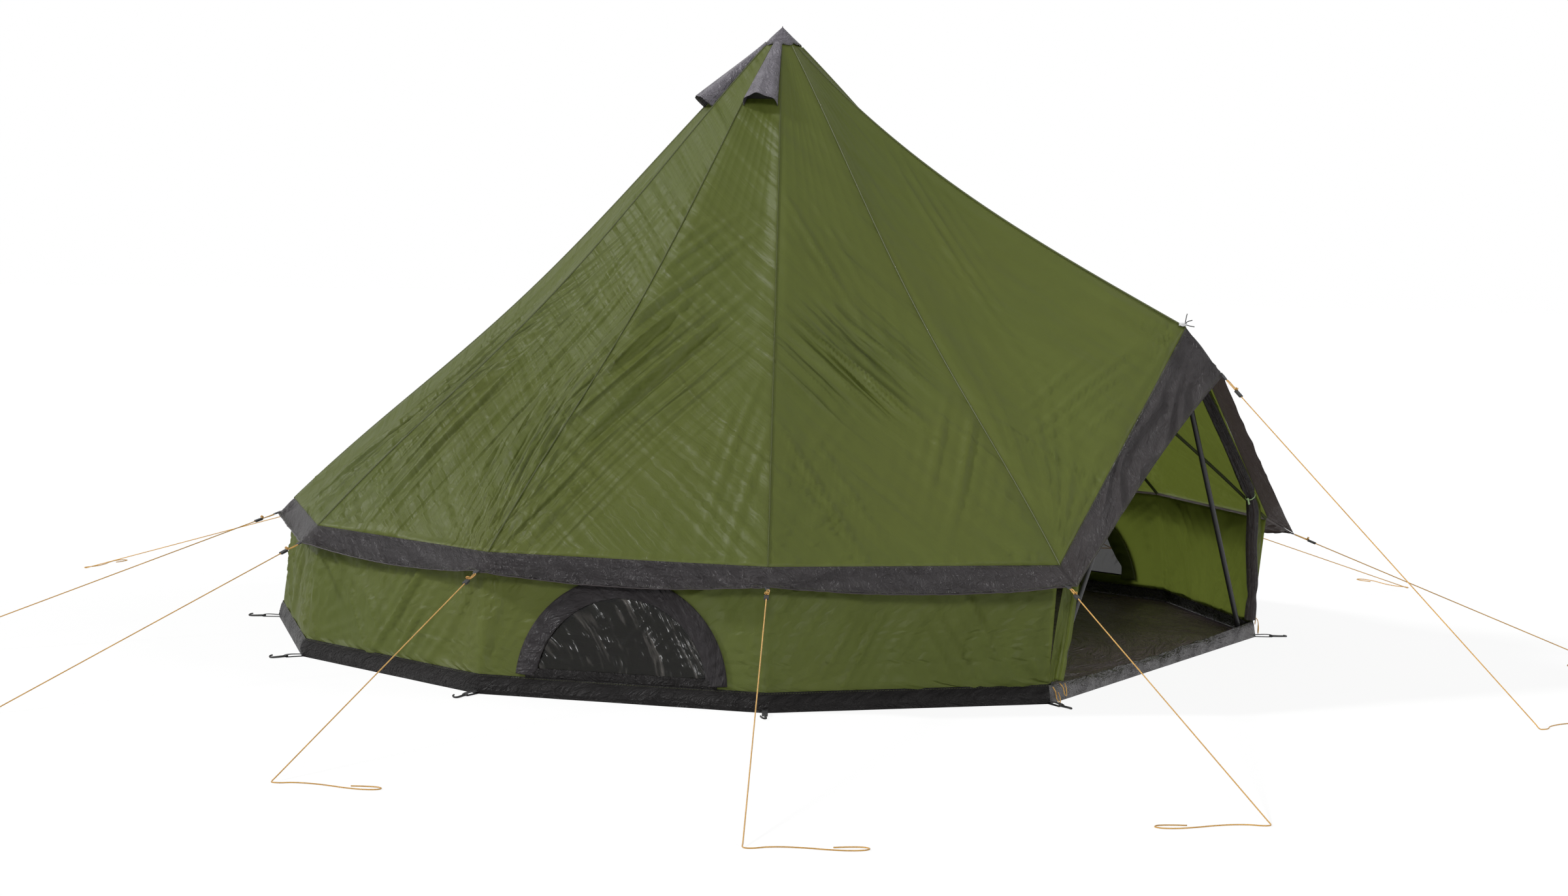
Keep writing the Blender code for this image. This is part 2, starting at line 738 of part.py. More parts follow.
def make_apex_cap():
    radii = [CAP_REACH * share for share in CAP_STATIONS]
    shoulder = APEX_HEIGHT - CAP_CLOTH / 3
    outer = [(0.0, APEX_HEIGHT)]
    outer += [(radius, min(cap_lining(radius) + 1.45 * CAP_CLOTH, shoulder)) for radius in radii]
    inner = [(radius, cap_lining(radius)) for radius in radii[::-1]]
    turned("apex_cap", outer + inner + [(0.0, cap_lining(radii[0] * 0.7))], trim_cloth(), sides=CAP_SIDES)


def vent_section(azimuth, radius, half_width, rise):
    """Arch of a vent hood standing square on the roof."""
    sides = [roof_line(azimuth + turn * panel_step() / 2, radius) for turn in (-1, 1)]
    below = [roof_line(azimuth + turn * panel_step() / 2, radius + SLOPE_STEP) for turn in (-1, 1)]
    foot = (sides[0] + sides[1]) / 2
    across = (sides[1] - sides[0]).normalized()
    normal = ((below[0] + below[1]) / 2 - foot).cross(across).normalized()
    if normal.z < 0:
        normal = -normal
    foot = foot + normal * 1.5 * GAP
    loop = []
    for thickness in (0.0, VENT_CLOTH):
        arch = []
        for step in range(VENT_SIDES + 1):
            angle = math.pi * step / VENT_SIDES
            arch.append(foot + across * (half_width - thickness) * math.cos(angle)
                        + normal * (rise - thickness) * math.sin(angle))
        loop += arch if thickness == 0.0 else arch[::-1]
    return loop


def vent_radii():
    """Stations down a hood, with the roof's own stations among them."""
    span = VENT_MOUTH - VENT_TOP
    even = [VENT_TOP + span * step / (VENT_STATIONS - 1) for step in range(VENT_STATIONS)]
    return sorted(even + [r for r in roof_radii(EAVE_RADIUS) if VENT_TOP < r < VENT_MOUTH])


def make_vent_hoods():
    for index, azimuth in enumerate(VENT_AZIMUTHS):
        sections = []
        for radius in vent_radii():
            share = (radius - VENT_TOP) / (VENT_MOUTH - VENT_TOP)
            half_width = VENT_TOP_HALF_WIDTH + (VENT_HALF_WIDTH - VENT_TOP_HALF_WIDTH) * share
            rise = VENT_TOP_RISE + (VENT_RISE - VENT_TOP_RISE) * share ** 1.2
            sections.append(vent_section(math.radians(azimuth), radius, half_width, rise))
        loft(f"vent_hood_{index}", sections, trim_cloth(), smooth=35)


def tube_section(name, radius, wall, length, spigot, finish, place, sides):
    """One pole section from its foot upwards, with a reduced spigot above it."""
    bore = radius - wall
    fit = bore - GAP
    if spigot > 0:
        profile = [(fit, length + spigot), (fit, length), (radius, length), (radius, 0.0),
                   (bore, 0.0), (bore, length - SPIGOT_TAPER), (fit - wall, length),
                   (fit - wall, length + spigot)]
    else:
        profile = [(radius, length), (radius, 0.0), (bore, 0.0), (bore, length)]
    return turned(name, profile, finish, place, sides)


def make_centre_pole():
    steel = material("pole_steel", STEEL, 0.35, 0.9)
    base = TUB_CLOTH + GAP
    seat = base + POLE_FOOT_FLOOR
    rim = cap_lining(POLE_PLUG_RADIUS) - POLE_CAP_GAP
    shoulder = rim - POLE_PLUG_FLANGE
    section = (shoulder - GAP - seat - GAP) / POLE_SECTIONS
    for index in range(POLE_SECTIONS):
        spigot = POLE_SPIGOT if index < POLE_SECTIONS - 1 else 0.0
        place = Matrix.Translation((0.0, 0.0, seat + GAP + section * index))
        tube_section(f"centre_pole_section_{index + 1}", POLE_RADIUS, POLE_WALL,
                     section - GAP, spigot, steel, place, POLE_SIDES)
    bore = POLE_RADIUS + GAP
    top = base + POLE_FOOT_HEIGHT
    turned("centre_pole_foot",
           [(bore + POLE_FOOT_COLLAR, top), (POLE_FOOT_RADIUS, base + POLE_FOOT_EDGE),
            (POLE_FOOT_RADIUS, base), (0.0, base), (0.0, seat), (bore, seat), (bore, top)],
           black_plastic())
    stem = POLE_RADIUS - POLE_WALL - GAP
    crown = cap_lining((POLE_CROWN_RADIUS + POLE_PLUG_RADIUS) / 2) - POLE_CAP_GAP
    turned("centre_pole_cap",
           [(0.0, crown), (POLE_CROWN_RADIUS, crown), (POLE_PLUG_RADIUS, rim),
            (POLE_PLUG_RADIUS, shoulder), (stem, shoulder), (stem, shoulder - POLE_PLUG_HEIGHT),
            (0.0, shoulder - POLE_PLUG_HEIGHT)],
           black_plastic())


def ridge_lining(reach):
    """Height of the roof's lining on the ridge at a distance from the centre."""
    radii = roof_radii(peak_reach())
    near, far = ridge_point(radii[-2]), ridge_point(radii[-1])
    share = (reach - radii[-2]) / (radii[-1] - radii[-2])
    fall = (near.z - far.z) / (radii[-1] - radii[-2])
    return near.lerp(far, share).z - ROOF_CLOTH * math.hypot(1.0, fall)


def leg_ends():
    """Foot ball centre and meeting point of the two legs, on the right side.

    The bend between them carries the two slopes of the roof that fall from the ridge.
    """
    corner = corner_azimuths()[-1]
    ground = plan(base_radius(corner), corner, 0.0)
    foot = Vector((ground.x - LEG_FOOT_INSET, eave_corner(corner).y + LEG_FOOT_SET_BACK,
                   TUB_CLOTH + GAP + LEG_FOOT_RADIUS))
    reach = peak_reach() - LEG_TOP_SET_BACK
    lining = ridge_lining(reach)
    fall = (PEAK_HEIGHT - EAVE_HEIGHT) / eave_corner(corner).x
    half = math.atan2(foot.x, lining - foot.z)
    bend = LEG_BEND * math.tan(half)
    top = lining - 3 * GAP - (bend + joiner_radius()) * math.hypot(1.0, fall) + bend / math.sin(half)
    return foot, Vector((0.0, -reach, top))


def joiner_radius():
    return LEG_RADIUS - LEG_WALL - GAP


def make_leg(side, place, full, steel):
    """One leg up from its foot's ball centre, in a frame with Z along it."""
    base = LEG_FOOT_FLOOR + GAP
    tube_section(f"door_leg_{side}_lower", LEG_RADIUS, LEG_WALL, LEG_LOWER, LEG_SPIGOT, steel,
                 place @ Matrix.Translation((0.0, 0.0, base)), LEG_SIDES)
    raised = base + LEG_LOWER + GAP
    tube_section(f"door_leg_{side}_upper", LEG_RADIUS, LEG_WALL, full - LEG_BEND - base - raised,
                 0.0, steel, place @ Matrix.Translation((0.0, 0.0, raised)), LEG_SIDES)
    angles = [math.radians(angle) for angle in range(0, 90, 18)]
    ball = [(LEG_FOOT_RADIUS * math.cos(angle), -LEG_FOOT_RADIUS * math.sin(angle)) for angle in angles]
    bore = LEG_RADIUS + GAP
    turned(f"door_leg_{side}_foot",
           [(LEG_FOOT_RADIUS, LEG_FOOT_HEIGHT)] + ball
           + [(0.0, -LEG_FOOT_RADIUS), (0.0, LEG_FOOT_FLOOR), (bore, LEG_FOOT_FLOOR), (bore, LEG_FOOT_HEIGHT)],
           black_plastic(), place, LEG_SIDES)


def make_door_frame():
    steel = material("door_frame_steel", BLACK, 0.4, 0.6)
    foot, top = leg_ends()
    for side, flip in (("right", 1), ("left", -1)):
        start = Vector((foot.x * flip, foot.y, foot.z))
        lean = (top - start).normalized().to_track_quat("Z", "Y").to_matrix().to_4x4()
        make_leg(side, Matrix.Translation(start) @ lean, (top - foot).length, steel)
    down = (foot - top).normalized()
    half = math.atan2(down.x, -down.z)
    bend = LEG_BEND * math.tan(half)
    centre = top + Vector((0.0, down.y, down.z)).normalized() * (bend / math.sin(half))
    points = [top + down * (LEG_BEND + LEG_SPIGOT), top + down * LEG_BEND]
    for step in range(1, LEG_BEND_STEPS):
        angle = (math.pi / 2 - half) * (1 - 2 * step / LEG_BEND_STEPS)
        points.append(centre + Vector((bend * math.sin(angle), 0.0, bend * math.cos(angle))))
    points += mirrored(points[:2])[::-1]
    tube_curve("door_leg_joiner", points, joiner_radius(), steel)


def flap_centres():
    """Centreline of the right flap: down the roof's edge from the peak, then down to the sill."""
    azimuth = corner_azimuths()[-1]
    corner = eave_corner(azimuth)
    route = []
    for share, drop, inward in FLAP_UPPER:
        edge = door_peak().lerp(corner, share)
        route.append(edge + Vector((0.0, inward, -drop)))
    foot = plan(base_radius(azimuth) - TUB_LEAN, azimuth, TUB_HEIGHT)
    for share, inset, front in FLAP_LOWER:
        route.append(foot.lerp(corner, share) - Vector((inset, front, 0.0)))
    return smooth_route(route, FLAP_STATIONS)


def sewn_edge(share):
    """Point of the roof's inner edge at the door, at a share of the way from the peak to the corner."""
    corner = corner_azimuths()[-1]
    peak = roof_section(ridge_point, peak_reach())[ROOF_STATIONS]
    low = roof_section(lambda radius: seam_point(corner, radius), eave_radius(corner))[ROOF_STATIONS]
    return peak.lerp(low, share)


def flap_radius(share):
    """Outer radius of a flap at a share of its length from the top, drawn in at its tie."""
    swell = math.sin(math.pi * min(share * 1.15, 1.0) * 0.62) ** 0.7
    tie = 1 - TIE_DEPTH * math.exp(-((share - TOGGLE_STATION) / TIE_SPREAD) ** 2)
    return FLAP_RADIUS * (FLAP_TOP_SHARE + (1 - FLAP_TOP_SHARE) * swell) * tie


def make_door_flaps():
    centres = flap_centres()
    sections = []
    for index, centre in enumerate(centres):
        before = centres[max(index - 1, 0)]
        after = centres[min(index + 1, len(centres) - 1)]
        along = (after - before).normalized()
        side = along.cross(Vector((0.0, 1.0, 0.0))).normalized()
        out = side.cross(along).normalized()
        share = index / (len(centres) - 1)
        loop = []
        for turn in range(FLAP_SIDES):
            angle = 2 * math.pi * turn / FLAP_SIDES
            fold = 1 - FLAP_FOLD_DEPTH * 0.5 * (1 + math.cos(FLAP_FOLDS * angle + 2.0 * share))
            reach = flap_radius(share) * fold
            loop.append(centre + side * reach * math.cos(angle) + out * reach * math.sin(angle))
        sewn = centre.x / eave_corner(corner_azimuths()[-1]).x
        if sewn < FLAP_SEWN:
            loop[0] = sewn_edge(sewn) + Vector((0.0, GAP, -2 * GAP))
            loop[1] = loop[0] + Vector((0.0, FLAP_SELVEDGE, 0.0))
        sections.append(loop)
    stub = tie_stub()
    right = loft("door_flap_right", sections, canopy_cloth(), smooth=60)
    cut(right, stub_cutter("tie_stub_right", stub), "UNION")
    left = loft("door_flap_left", [mirrored(section) for section in sections], canopy_cloth(), smooth=60)
    cut(left, stub_cutter("tie_stub_left", [mirrored(ring) for ring in stub]), "UNION")


def tie_stub():
    """Rings of the right tie's round end, from inside the flap to the toggle's waist."""
    point, along, inward = toggle_frame()
    across = along.cross(inward)
    rings = []
    for back in (TOGGLE_RADIUS + TOGGLE_CLEARANCE + TIE_STUB_ROOT, TOGGLE_RADIUS * TOGGLE_WAIST + 2 * GAP):
        turns = [2 * math.pi * step / TIE_STUB_SIDES for step in range(TIE_STUB_SIDES)]
        rings.append([point - inward * back + (along * math.cos(turn) + across * math.sin(turn)) * TIE_STUB_RADIUS
                      for turn in turns])
    return rings


def stub_cutter(name, rings):
    bm = bmesh.new()
    loft_into(bm, rings)
    mesh = bpy.data.meshes.new(name)
    bm.to_mesh(mesh)
    bm.free()
    return add_object(name, mesh, None, cutter=True)


def toggle_frame():
    """Centre of the right flap's toggle, its direction, and the way from the tie into the doorway."""
    centres = flap_centres()
    index = round(TOGGLE_STATION * (FLAP_STATIONS - 1))
    along = (centres[index + 1] - centres[index - 1]).normalized()
    inward = along.cross(Vector((0.0, 1.0, 0.0))).normalized()
    if inward.x > 0:
        inward = -inward
    offset = flap_radius(index / (FLAP_STATIONS - 1)) + TOGGLE_RADIUS + TOGGLE_CLEARANCE
    return centres[index] + inward * offset, along, inward


def make_toggles():
    point, along, _ = toggle_frame()
    half = TOGGLE_LENGTH / 2
    upper = [(0.0, half), (TOGGLE_RADIUS * TOGGLE_END, half), (TOGGLE_RADIUS, half - TOGGLE_RIM)]
    lower = [(radius, -height) for radius, height in upper[::-1]]
    profile = upper + [(TOGGLE_RADIUS * TOGGLE_WAIST, 0.0)] + lower
    finish = material("pale_green_plastic", PALE_GREEN, 0.5)
    for name, flip in (("right", 1), ("left", -1)):
        lean = Vector((along.x * flip, along.y, along.z)).to_track_quat("Z", "Y")
        place = Matrix.Translation((point.x * flip, point.y, point.z)) @ lean.to_matrix().to_4x4()
        turned(f"door_toggle_{name}", profile, finish, place, TOGGLE_SIDES)


def zip_centre(side):
    """Centre of the window's arc on the panel, and the panel's axes as a rotation."""
    frame = panel_frame(side)
    return frame @ Vector((0.0, window_centre(), 0.0)), frame.to_3x3()


def make_zip_pulls():
    """Sliders of the inner window zips, on the wall's inner face, turned about the arc's centre."""
    finish = material("orange_pull", ORANGE, 0.5)
    half = ZIP_WIDTH / 2
    end = ZIP_LENGTH - half
    edge = [(-half, -half), (0.6 * half, -half), (0.6 * half, -0.5 * half), (end - 0.8 * half, -0.8 * half),
            (end, -0.3 * half)]
    outline = edge + [(along, -across) for along, across in edge[::-1]]
    near = -WALL_CLOTH - GAP
    radius = WINDOW_RADIUS + ZIP_MARGIN
    turn = Matrix.Rotation(math.pi - ZIP_REST_ANGLE, 3, "Z")
    for side in (0, 1):
        centre, axes = zip_centre(side)
        sections = [[axes @ turn @ Vector((radius + across, along, depth)) for along, across in outline]
                    for depth in (near, near - ZIP_HEIGHT)]
        pull = loft(half_name("window_zip_pull", side), sections, finish)
        pull.location = centre


def main():
    for old in list(bpy.data.objects):
        bpy.data.objects.remove(old, do_unlink=True)
    make_groundsheet()
    make_wall()
    make_windows()
    make_roof()
    make_valance()
    make_awning()
    make_apex_cap()
    make_vent_hoods()
    make_centre_pole()
    make_door_frame()
    make_door_flaps()
    make_toggles()
    make_zip_pulls()
    make_guy_lines()


main()
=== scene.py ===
"""Looks of the round tent: cloth, films, webbing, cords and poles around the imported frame.

Metres, +Z up. The centre pole stands on the origin and the door faces -Y.
"""

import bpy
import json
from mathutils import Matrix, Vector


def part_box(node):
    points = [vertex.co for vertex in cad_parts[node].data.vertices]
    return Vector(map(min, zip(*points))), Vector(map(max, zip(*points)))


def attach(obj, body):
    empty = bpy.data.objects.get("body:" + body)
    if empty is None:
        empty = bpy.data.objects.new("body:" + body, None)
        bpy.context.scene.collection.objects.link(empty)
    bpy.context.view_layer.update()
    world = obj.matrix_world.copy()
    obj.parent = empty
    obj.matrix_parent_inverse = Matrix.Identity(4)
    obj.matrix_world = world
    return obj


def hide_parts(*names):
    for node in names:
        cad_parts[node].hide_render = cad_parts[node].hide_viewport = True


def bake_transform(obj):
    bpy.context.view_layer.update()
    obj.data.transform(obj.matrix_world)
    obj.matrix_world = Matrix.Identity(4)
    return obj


bl_info = {
    "name": "Round Tent",
    "version": (1, 0, 0),
    "blender": (4, 5, 0),
    "location": "View3D > Sidebar > Round Tent",
    "description": "Builds the cloth, cords, trims and stage of a round tent around its packed frame",
    "category": "Object",
}

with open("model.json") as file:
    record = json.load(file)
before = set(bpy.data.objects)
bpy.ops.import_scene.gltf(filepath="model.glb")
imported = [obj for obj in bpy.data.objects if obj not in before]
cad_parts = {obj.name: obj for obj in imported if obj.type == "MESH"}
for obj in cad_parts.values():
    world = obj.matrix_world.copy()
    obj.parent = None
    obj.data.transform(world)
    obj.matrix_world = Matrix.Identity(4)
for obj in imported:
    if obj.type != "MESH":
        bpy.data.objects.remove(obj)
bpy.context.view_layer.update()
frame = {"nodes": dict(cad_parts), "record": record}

import json
import math

import bmesh
import bpy
import numpy as np
from bpy.props import FloatProperty, FloatVectorProperty, IntProperty, PointerProperty
from mathutils import Matrix, Vector

GROUND_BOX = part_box("groundsheet")
CAP_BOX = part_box("apex_cap")
DOOR = 1.5 * math.pi

# Thickness of the cloths as modelled, in metres
TRIM_THICK = 0.0014
BORDER_THICK = 0.0012
FILM_THICK = 0.0006
NET_THICK = 0.0008
CAP_THICK = 0.0018
TAPE_THICK = 0.0011

# Distance from one stitch to the next, in metres
ROOF_STITCH = 0.011
EDGE_STITCH = 0.012
VENT_STITCH = 0.009
CAP_STITCH = 0.008


def length(name, description, default):
    return FloatProperty(name=name, description=description, default=default, unit="LENGTH", precision=4)


def colour(name, description, default):
    return FloatVectorProperty(name=name, description=description, default=default, subtype="COLOR",
                               size=3, min=0.0, max=1.0)


class TentShape(bpy.types.PropertyGroup):
    """Sizes of the fly sheet, as the frame has them."""

    panels: IntProperty(name="Panels a side", description="Wall panels from the door to the back", default=5)
    door: FloatProperty(name="Door angle", description="Plan angle that the door takes",
                        default=math.radians(60.0), subtype="ANGLE")
    base: length("Ground radius", "Centre to a ground corner", GROUND_BOX[1].x)
    tub: length("Upstand", "Height of the groundsheet's edge", GROUND_BOX[1].z)
    lean: length("Upstand lean", "How far that edge leans in", 0.020)
    eave: length("Eave radius", "Centre to a corner of the eave seam", 2.4275)
    eave_height: length("Eave height", "Height of the eave seam", 0.6075)
    crown: length("Crown", "Height at which the roof seams meet", CAP_BOX[1].z - 0.012)
    sag: length("Seam sag", "How far a roof seam hangs below its chord", 0.100)
    overhang: length("Peak overhang", "Door peak beyond the door's straight eave", 0.098)
    peak: length("Peak height", "Height of the door peak", 1.600)
    ridge_sag: length("Ridge sag", "The same sag for the ridge", 0.146)
    skirt_reach: length("Valance reach", "Valance tip beyond the eave corner", 0.0825)
    skirt_drop: length("Valance drop", "Valance tip below the eave corner", 0.075)
    skirt_sag: length("Valance sag", "How far the hem hangs between tips", 0.040)
    skirt_tuck: length("Valance tuck", "How far the hem blows in between tips", 0.030)
    hood_reach: length("Hood reach", "Tip of the door hood beyond the peak", 0.190)
    hood_drop: length("Hood drop", "Tip of the door hood below the peak", 0.215)
    door_base: length("Door inset", "How far the door's ground corners stand in", 0.040)
    door_eave: length("Door eave reach", "How far the door's eave corners stand out", 0.0725)
    door_skirt: length("Door valance reach", "How much further the door's tips reach", 0.050)
    ring: length("Roof ring", "Radius of the opening under the cap", 0.050)
    cloth: length("Cloth", "Thickness of the canopy cloth as modelled", 0.0016)


class TentFinish(bpy.types.PropertyGroup):
    """Colours of the finishes."""

    canopy: colour("Canopy", "Olive cloth", (0.094, 0.114, 0.024))
    canopy_light: colour("Canopy light", "Light through one face of the cloth", (0.540, 0.600, 0.250))
    trim: colour("Trim", "Warm grey coated cloth", (0.026, 0.023, 0.025))
    trim_light: colour("Trim light", "Light through one face of the grey cloth", (0.500, 0.440, 0.420))
    edging: colour("Edging", "Darker coated cloth round the ground", (0.013, 0.012, 0.012))
    # painted light: the cap's paler grey is the trim's grey cloth made lighter where it faces up to the lamps
    cap: colour("Cap", "Paler grey cloth of the cap and vent hoods", (0.110, 0.102, 0.118))
    film: colour("Window film", "Dark netting and film", (0.012, 0.011, 0.010))
    floor: colour("Floor", "Dark coated floor sheet", (0.052, 0.036, 0.048))
    cord: colour("Cord", "Orange braided cord", (0.640, 0.300, 0.035))
    webbing: colour("Webbing", "Black woven tape", (0.010, 0.010, 0.011))
    toggle: colour("Toggle", "Pale green plastic and ties", (0.250, 0.360, 0.170))


def shape():
    return bpy.context.scene.tent_shape


def finish():
    return bpy.context.scene.tent_finish


# Plan and surfaces of the tent

def plan(radius, azimuth, height):
    return Vector((radius * math.cos(azimuth), radius * math.sin(azimuth), height))


def corner_azimuths():
    """Corners in order, from the left of the door round the back to its right."""
    s = shape()
    step = (math.pi - s.door / 2) / s.panels
    return [DOOR - s.door / 2 - index * step for index in range(2 * s.panels + 1)]


def peak_reach():
    s = shape()
    return s.eave * math.cos(s.door / 2) + s.overhang


def at_door(azimuth):
    """Whether a corner is one of the door's two."""
    return math.cos(azimuth - DOOR) > math.cos(shape().door / 2) - 1e-6


def base_radius(azimuth):
    return shape().base - (shape().door_base if at_door(azimuth) else 0.0)


def eave_radius(azimuth):
    return shape().eave + (shape().door_eave if at_door(azimuth) else 0.0)


def eave_corner(azimuth):
    return plan(eave_radius(azimuth), azimuth, shape().eave_height)


def skirt_tip(azimuth):
    s = shape()
    reach = s.skirt_reach + (s.door_skirt if at_door(azimuth) else 0.0)
    return plan(eave_radius(azimuth) + reach, azimuth, s.eave_height - s.skirt_drop)


def door_peak():
    return plan(peak_reach(), DOOR, shape().peak)


def hood_tip():
    s = shape()
    return plan(peak_reach() + s.hood_reach, DOOR, s.peak - s.hood_drop)


def seam_curve(azimuth, shares):
    """Points of a roof seam at shares of the way from the ring to the eave; azimuth None is the ridge."""
    s = shape()
    last = eave_radius(azimuth) if azimuth is not None else peak_reach()
    foot = s.eave_height if azimuth is not None else s.peak
    sag, bend = (s.sag, 2) if azimuth is not None else (s.ridge_sag, 1)
    radius = s.ring + (last - s.ring) * shares
    share = radius / last
    hang = np.sin(np.pi * share ** (1.0 if bend == 2 else 0.75)) ** bend
    height = s.crown - (s.crown - foot) * share - sag * hang
    turn = DOOR if azimuth is None else azimuth
    return np.stack([radius * math.cos(turn), radius * math.sin(turn), height], axis=-1)


def roof_seams():
    """The roof's seams in order: ridge, the corners, and the ridge again."""
    return [None] + corner_azimuths() + [None]


# Cloth as grids of points

def rise(height):
    """A step straight up."""
    return np.array([0.0, 0.0, height])


def shares_across(count):
    return np.linspace(0, 1, count + 1)[None, :, None]


def shares_down(count):
    return np.linspace(0, 1, count + 1)[:, None, None]


def mix_points(first, second, share):
    first = np.asarray(first, float)
    return first + (np.asarray(second, float) - first) * share


def grid_of(*parts):
    """Coordinates that broadcast together, as the points of one grid."""
    return np.stack(np.broadcast_arrays(*parts), axis=-1)


def unit(vectors):
    return vectors / np.linalg.norm(vectors, axis=-1, keepdims=True)


def held(distance, reach):
    """0 at an edge that holds the cloth, rising to 1 within its reach."""
    return 1 - np.exp(-(distance / reach) ** 2)


def grid_normals(points):
    normal = np.cross(np.gradient(points, axis=0), np.gradient(points, axis=1))
    return normal / np.maximum(np.linalg.norm(normal, axis=-1, keepdims=True), 1e-9)


def outward_sign(points):
    """1 or -1, whichever turns a grid's normals away from the tent's middle."""
    middle = tuple(extent // 2 for extent in points.shape[:2])
    facing = grid_normals(points)[middle].dot(points[middle] - rise(0.6))
    return 1.0 if facing > 0 else -1.0


def puffed(points, lift):
    """A grid moved off its own surface, away from the tent's middle."""
    return points + grid_normals(points) * outward_sign(points) * lift[..., None]


def side_by_side(grids):
    """Neighbouring grids as one, sharing the columns where they meet."""
    return np.concatenate(grids[:1] + [grid[:, 1:] for grid in grids[1:]], axis=1)


def arc_length(points, axis):
    steps = np.linalg.norm(np.diff(points, axis=axis), axis=-1)
    return np.concatenate([np.zeros_like(steps.take([0], axis)), np.cumsum(steps, axis)], axis)


def crest(phase, sharp=1.5):
    """A train of folds: narrow crests with broad hollows between, about zero on average."""
    return (1 - np.abs(np.sin(phase))) ** sharp - 0.28


def hump(value, centre, spread):
    return np.exp(-((value - centre) / spread) ** 2)


def waves(x, y, seed, low=0.6, high=2.2, count=7):
    """Smooth uneven hills, from a few crossed waves of low to high turns a metre."""
    draw = np.random.default_rng(seed)
    total = np.zeros(np.broadcast(x, y).shape)
    for _ in range(count):
        turn, rate, shift = draw.uniform(0, math.pi), draw.uniform(low, high), draw.uniform(0, 6.3)
        total += np.sin(2 * math.pi * rate * (x * math.cos(turn) + y * math.sin(turn)) + shift)
    return total / math.sqrt(count)


def creases(x, y, seed, count=6, rate=9.0, sharp=2.2):
    """Crumpled film: straight sharp creases at all angles, each broken by hills."""
    draw = np.random.default_rng(seed)
    total = np.zeros(np.broadcast(x, y).shape)
    for index in range(count):
        turn, shift = draw.uniform(0, math.pi), draw.uniform(0, 6.3)
        span = rate * draw.uniform(0.5, 1.4)
        along = x * math.cos(turn) + y * math.sin(turn)
        bend = 0.10 * waves(x, y, seed + 31 * index + 1, low=0.8, high=2.0)
        mask = np.clip(0.5 + 0.7 * waves(x, y, seed + 17 * index + 5, low=1.5, high=4.0), 0, 1)
        total += crest(math.pi * span * (along + bend) + shift, sharp) * mask
    return total / math.sqrt(count)


def fan(x, y, seed, rays, reach, start=0.05):
    """Tension folds that spread from a point at the origin into the quadrant of +x and +y."""
    distance = np.hypot(x, y)
    angle = np.arctan2(np.maximum(x, 0), np.maximum(y, 1e-6))
    wobble = 0.12 * waves(angle * 2, distance, seed, low=0.3, high=1.2)
    return crest(rays * (angle + wobble) + seed) * np.exp(-distance / reach) * held(distance, start)


def linked(name, data):
    """A new object in the scene."""
    made = bpy.data.objects.new(name, data)
    bpy.context.scene.collection.objects.link(made)
    return made


def bmesh_object(name, bm, *materials):
    """A bmesh as a new object."""
    mesh = bpy.data.meshes.new(name)
    bm.to_mesh(mesh)
    bm.free()
    for material in materials:
        mesh.materials.append(material)
    return linked(name, mesh)


def sheet_object(name, points, material, closed=False):
    """A quad mesh over a grid, with its UV map in metres; closed joins the last column to the first."""
    rows, columns = points.shape[:2]
    mesh = bpy.data.meshes.new(name)
    index = np.arange(rows * columns).reshape(rows, columns)
    wrap = np.concatenate([index, index[:, :1]], axis=1) if closed else index
    quads = np.stack([wrap[:-1, :-1], wrap[1:, :-1], wrap[1:, 1:], wrap[:-1, 1:]], axis=-1).reshape(-1, 4)
    mesh.from_pydata(points.reshape(-1, 3).tolist(), [], quads.tolist())
    layer = mesh.uv_layers.new(name="cloth")
    corner = np.array([loop.vertex_index for loop in mesh.loops])
    flat = np.stack([arc_length(points, axis).reshape(-1)[corner] for axis in (1, 0)], axis=-1)
    layer.data.foreach_set("uv", flat.reshape(-1).astype(np.float32))
    mesh.shade_smooth()
    mesh.materials.append(material)
    return linked(name, mesh)


def bake_modifiers(made):
    """Turn an object and its modifiers into a plain mesh."""
    bpy.context.view_layer.update()
    graph = bpy.context.evaluated_depsgraph_get()
    mesh = bpy.data.meshes.new_from_object(made.evaluated_get(graph))
    made.modifiers.clear()
    if made.type == "CURVE":
        name = made.name
        bpy.data.objects.remove(made)
        return linked(name, mesh)
    made.data = mesh
    return made


def thicken(made, thickness, offset=-1.0):
    solid = made.modifiers.new("cloth", "SOLIDIFY")
    solid.thickness = thickness
    solid.offset = offset
    return bake_modifiers(made)


def placed(made, slot, *nodes, body="root"):
    """Hand a finished piece to its body and hide the frame nodes that it stands for; its material slot is not
    used.
    """
    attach(made, body)
    if nodes:
        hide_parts(*nodes)
    return made


def joined_object(name, material, *grids, closed=False):
    """Several grids of points as the parts of one mesh."""
    bm = bmesh.new()
    for index, grid in enumerate(grids):
        part = sheet_object(f"{name}_{index}", grid, material, closed)
        mesh = part.data
        bm.from_mesh(mesh)
        bpy.data.objects.remove(part)
        bpy.data.meshes.remove(mesh)
    whole = bmesh_object(name, bm, material)
    whole.data.shade_smooth()
    return whole


def outward_sheet(name, points, material, thickness):
    """A grid as a thin solid whose outer face is the grid."""
    if outward_sign(points) > 0:
        points = points[:, ::-1]
    return thicken(sheet_object(name, points, material), thickness)


def spread_normals(made):
    """Merge doubled points and turn every face outwards."""
    bm = bmesh.new()
    bm.from_mesh(made.data)
    bmesh.ops.remove_doubles(bm, verts=bm.verts, dist=0.00002)
    bmesh.ops.recalc_face_normals(bm, faces=bm.faces)
    bm.to_mesh(made.data)
    bm.free()


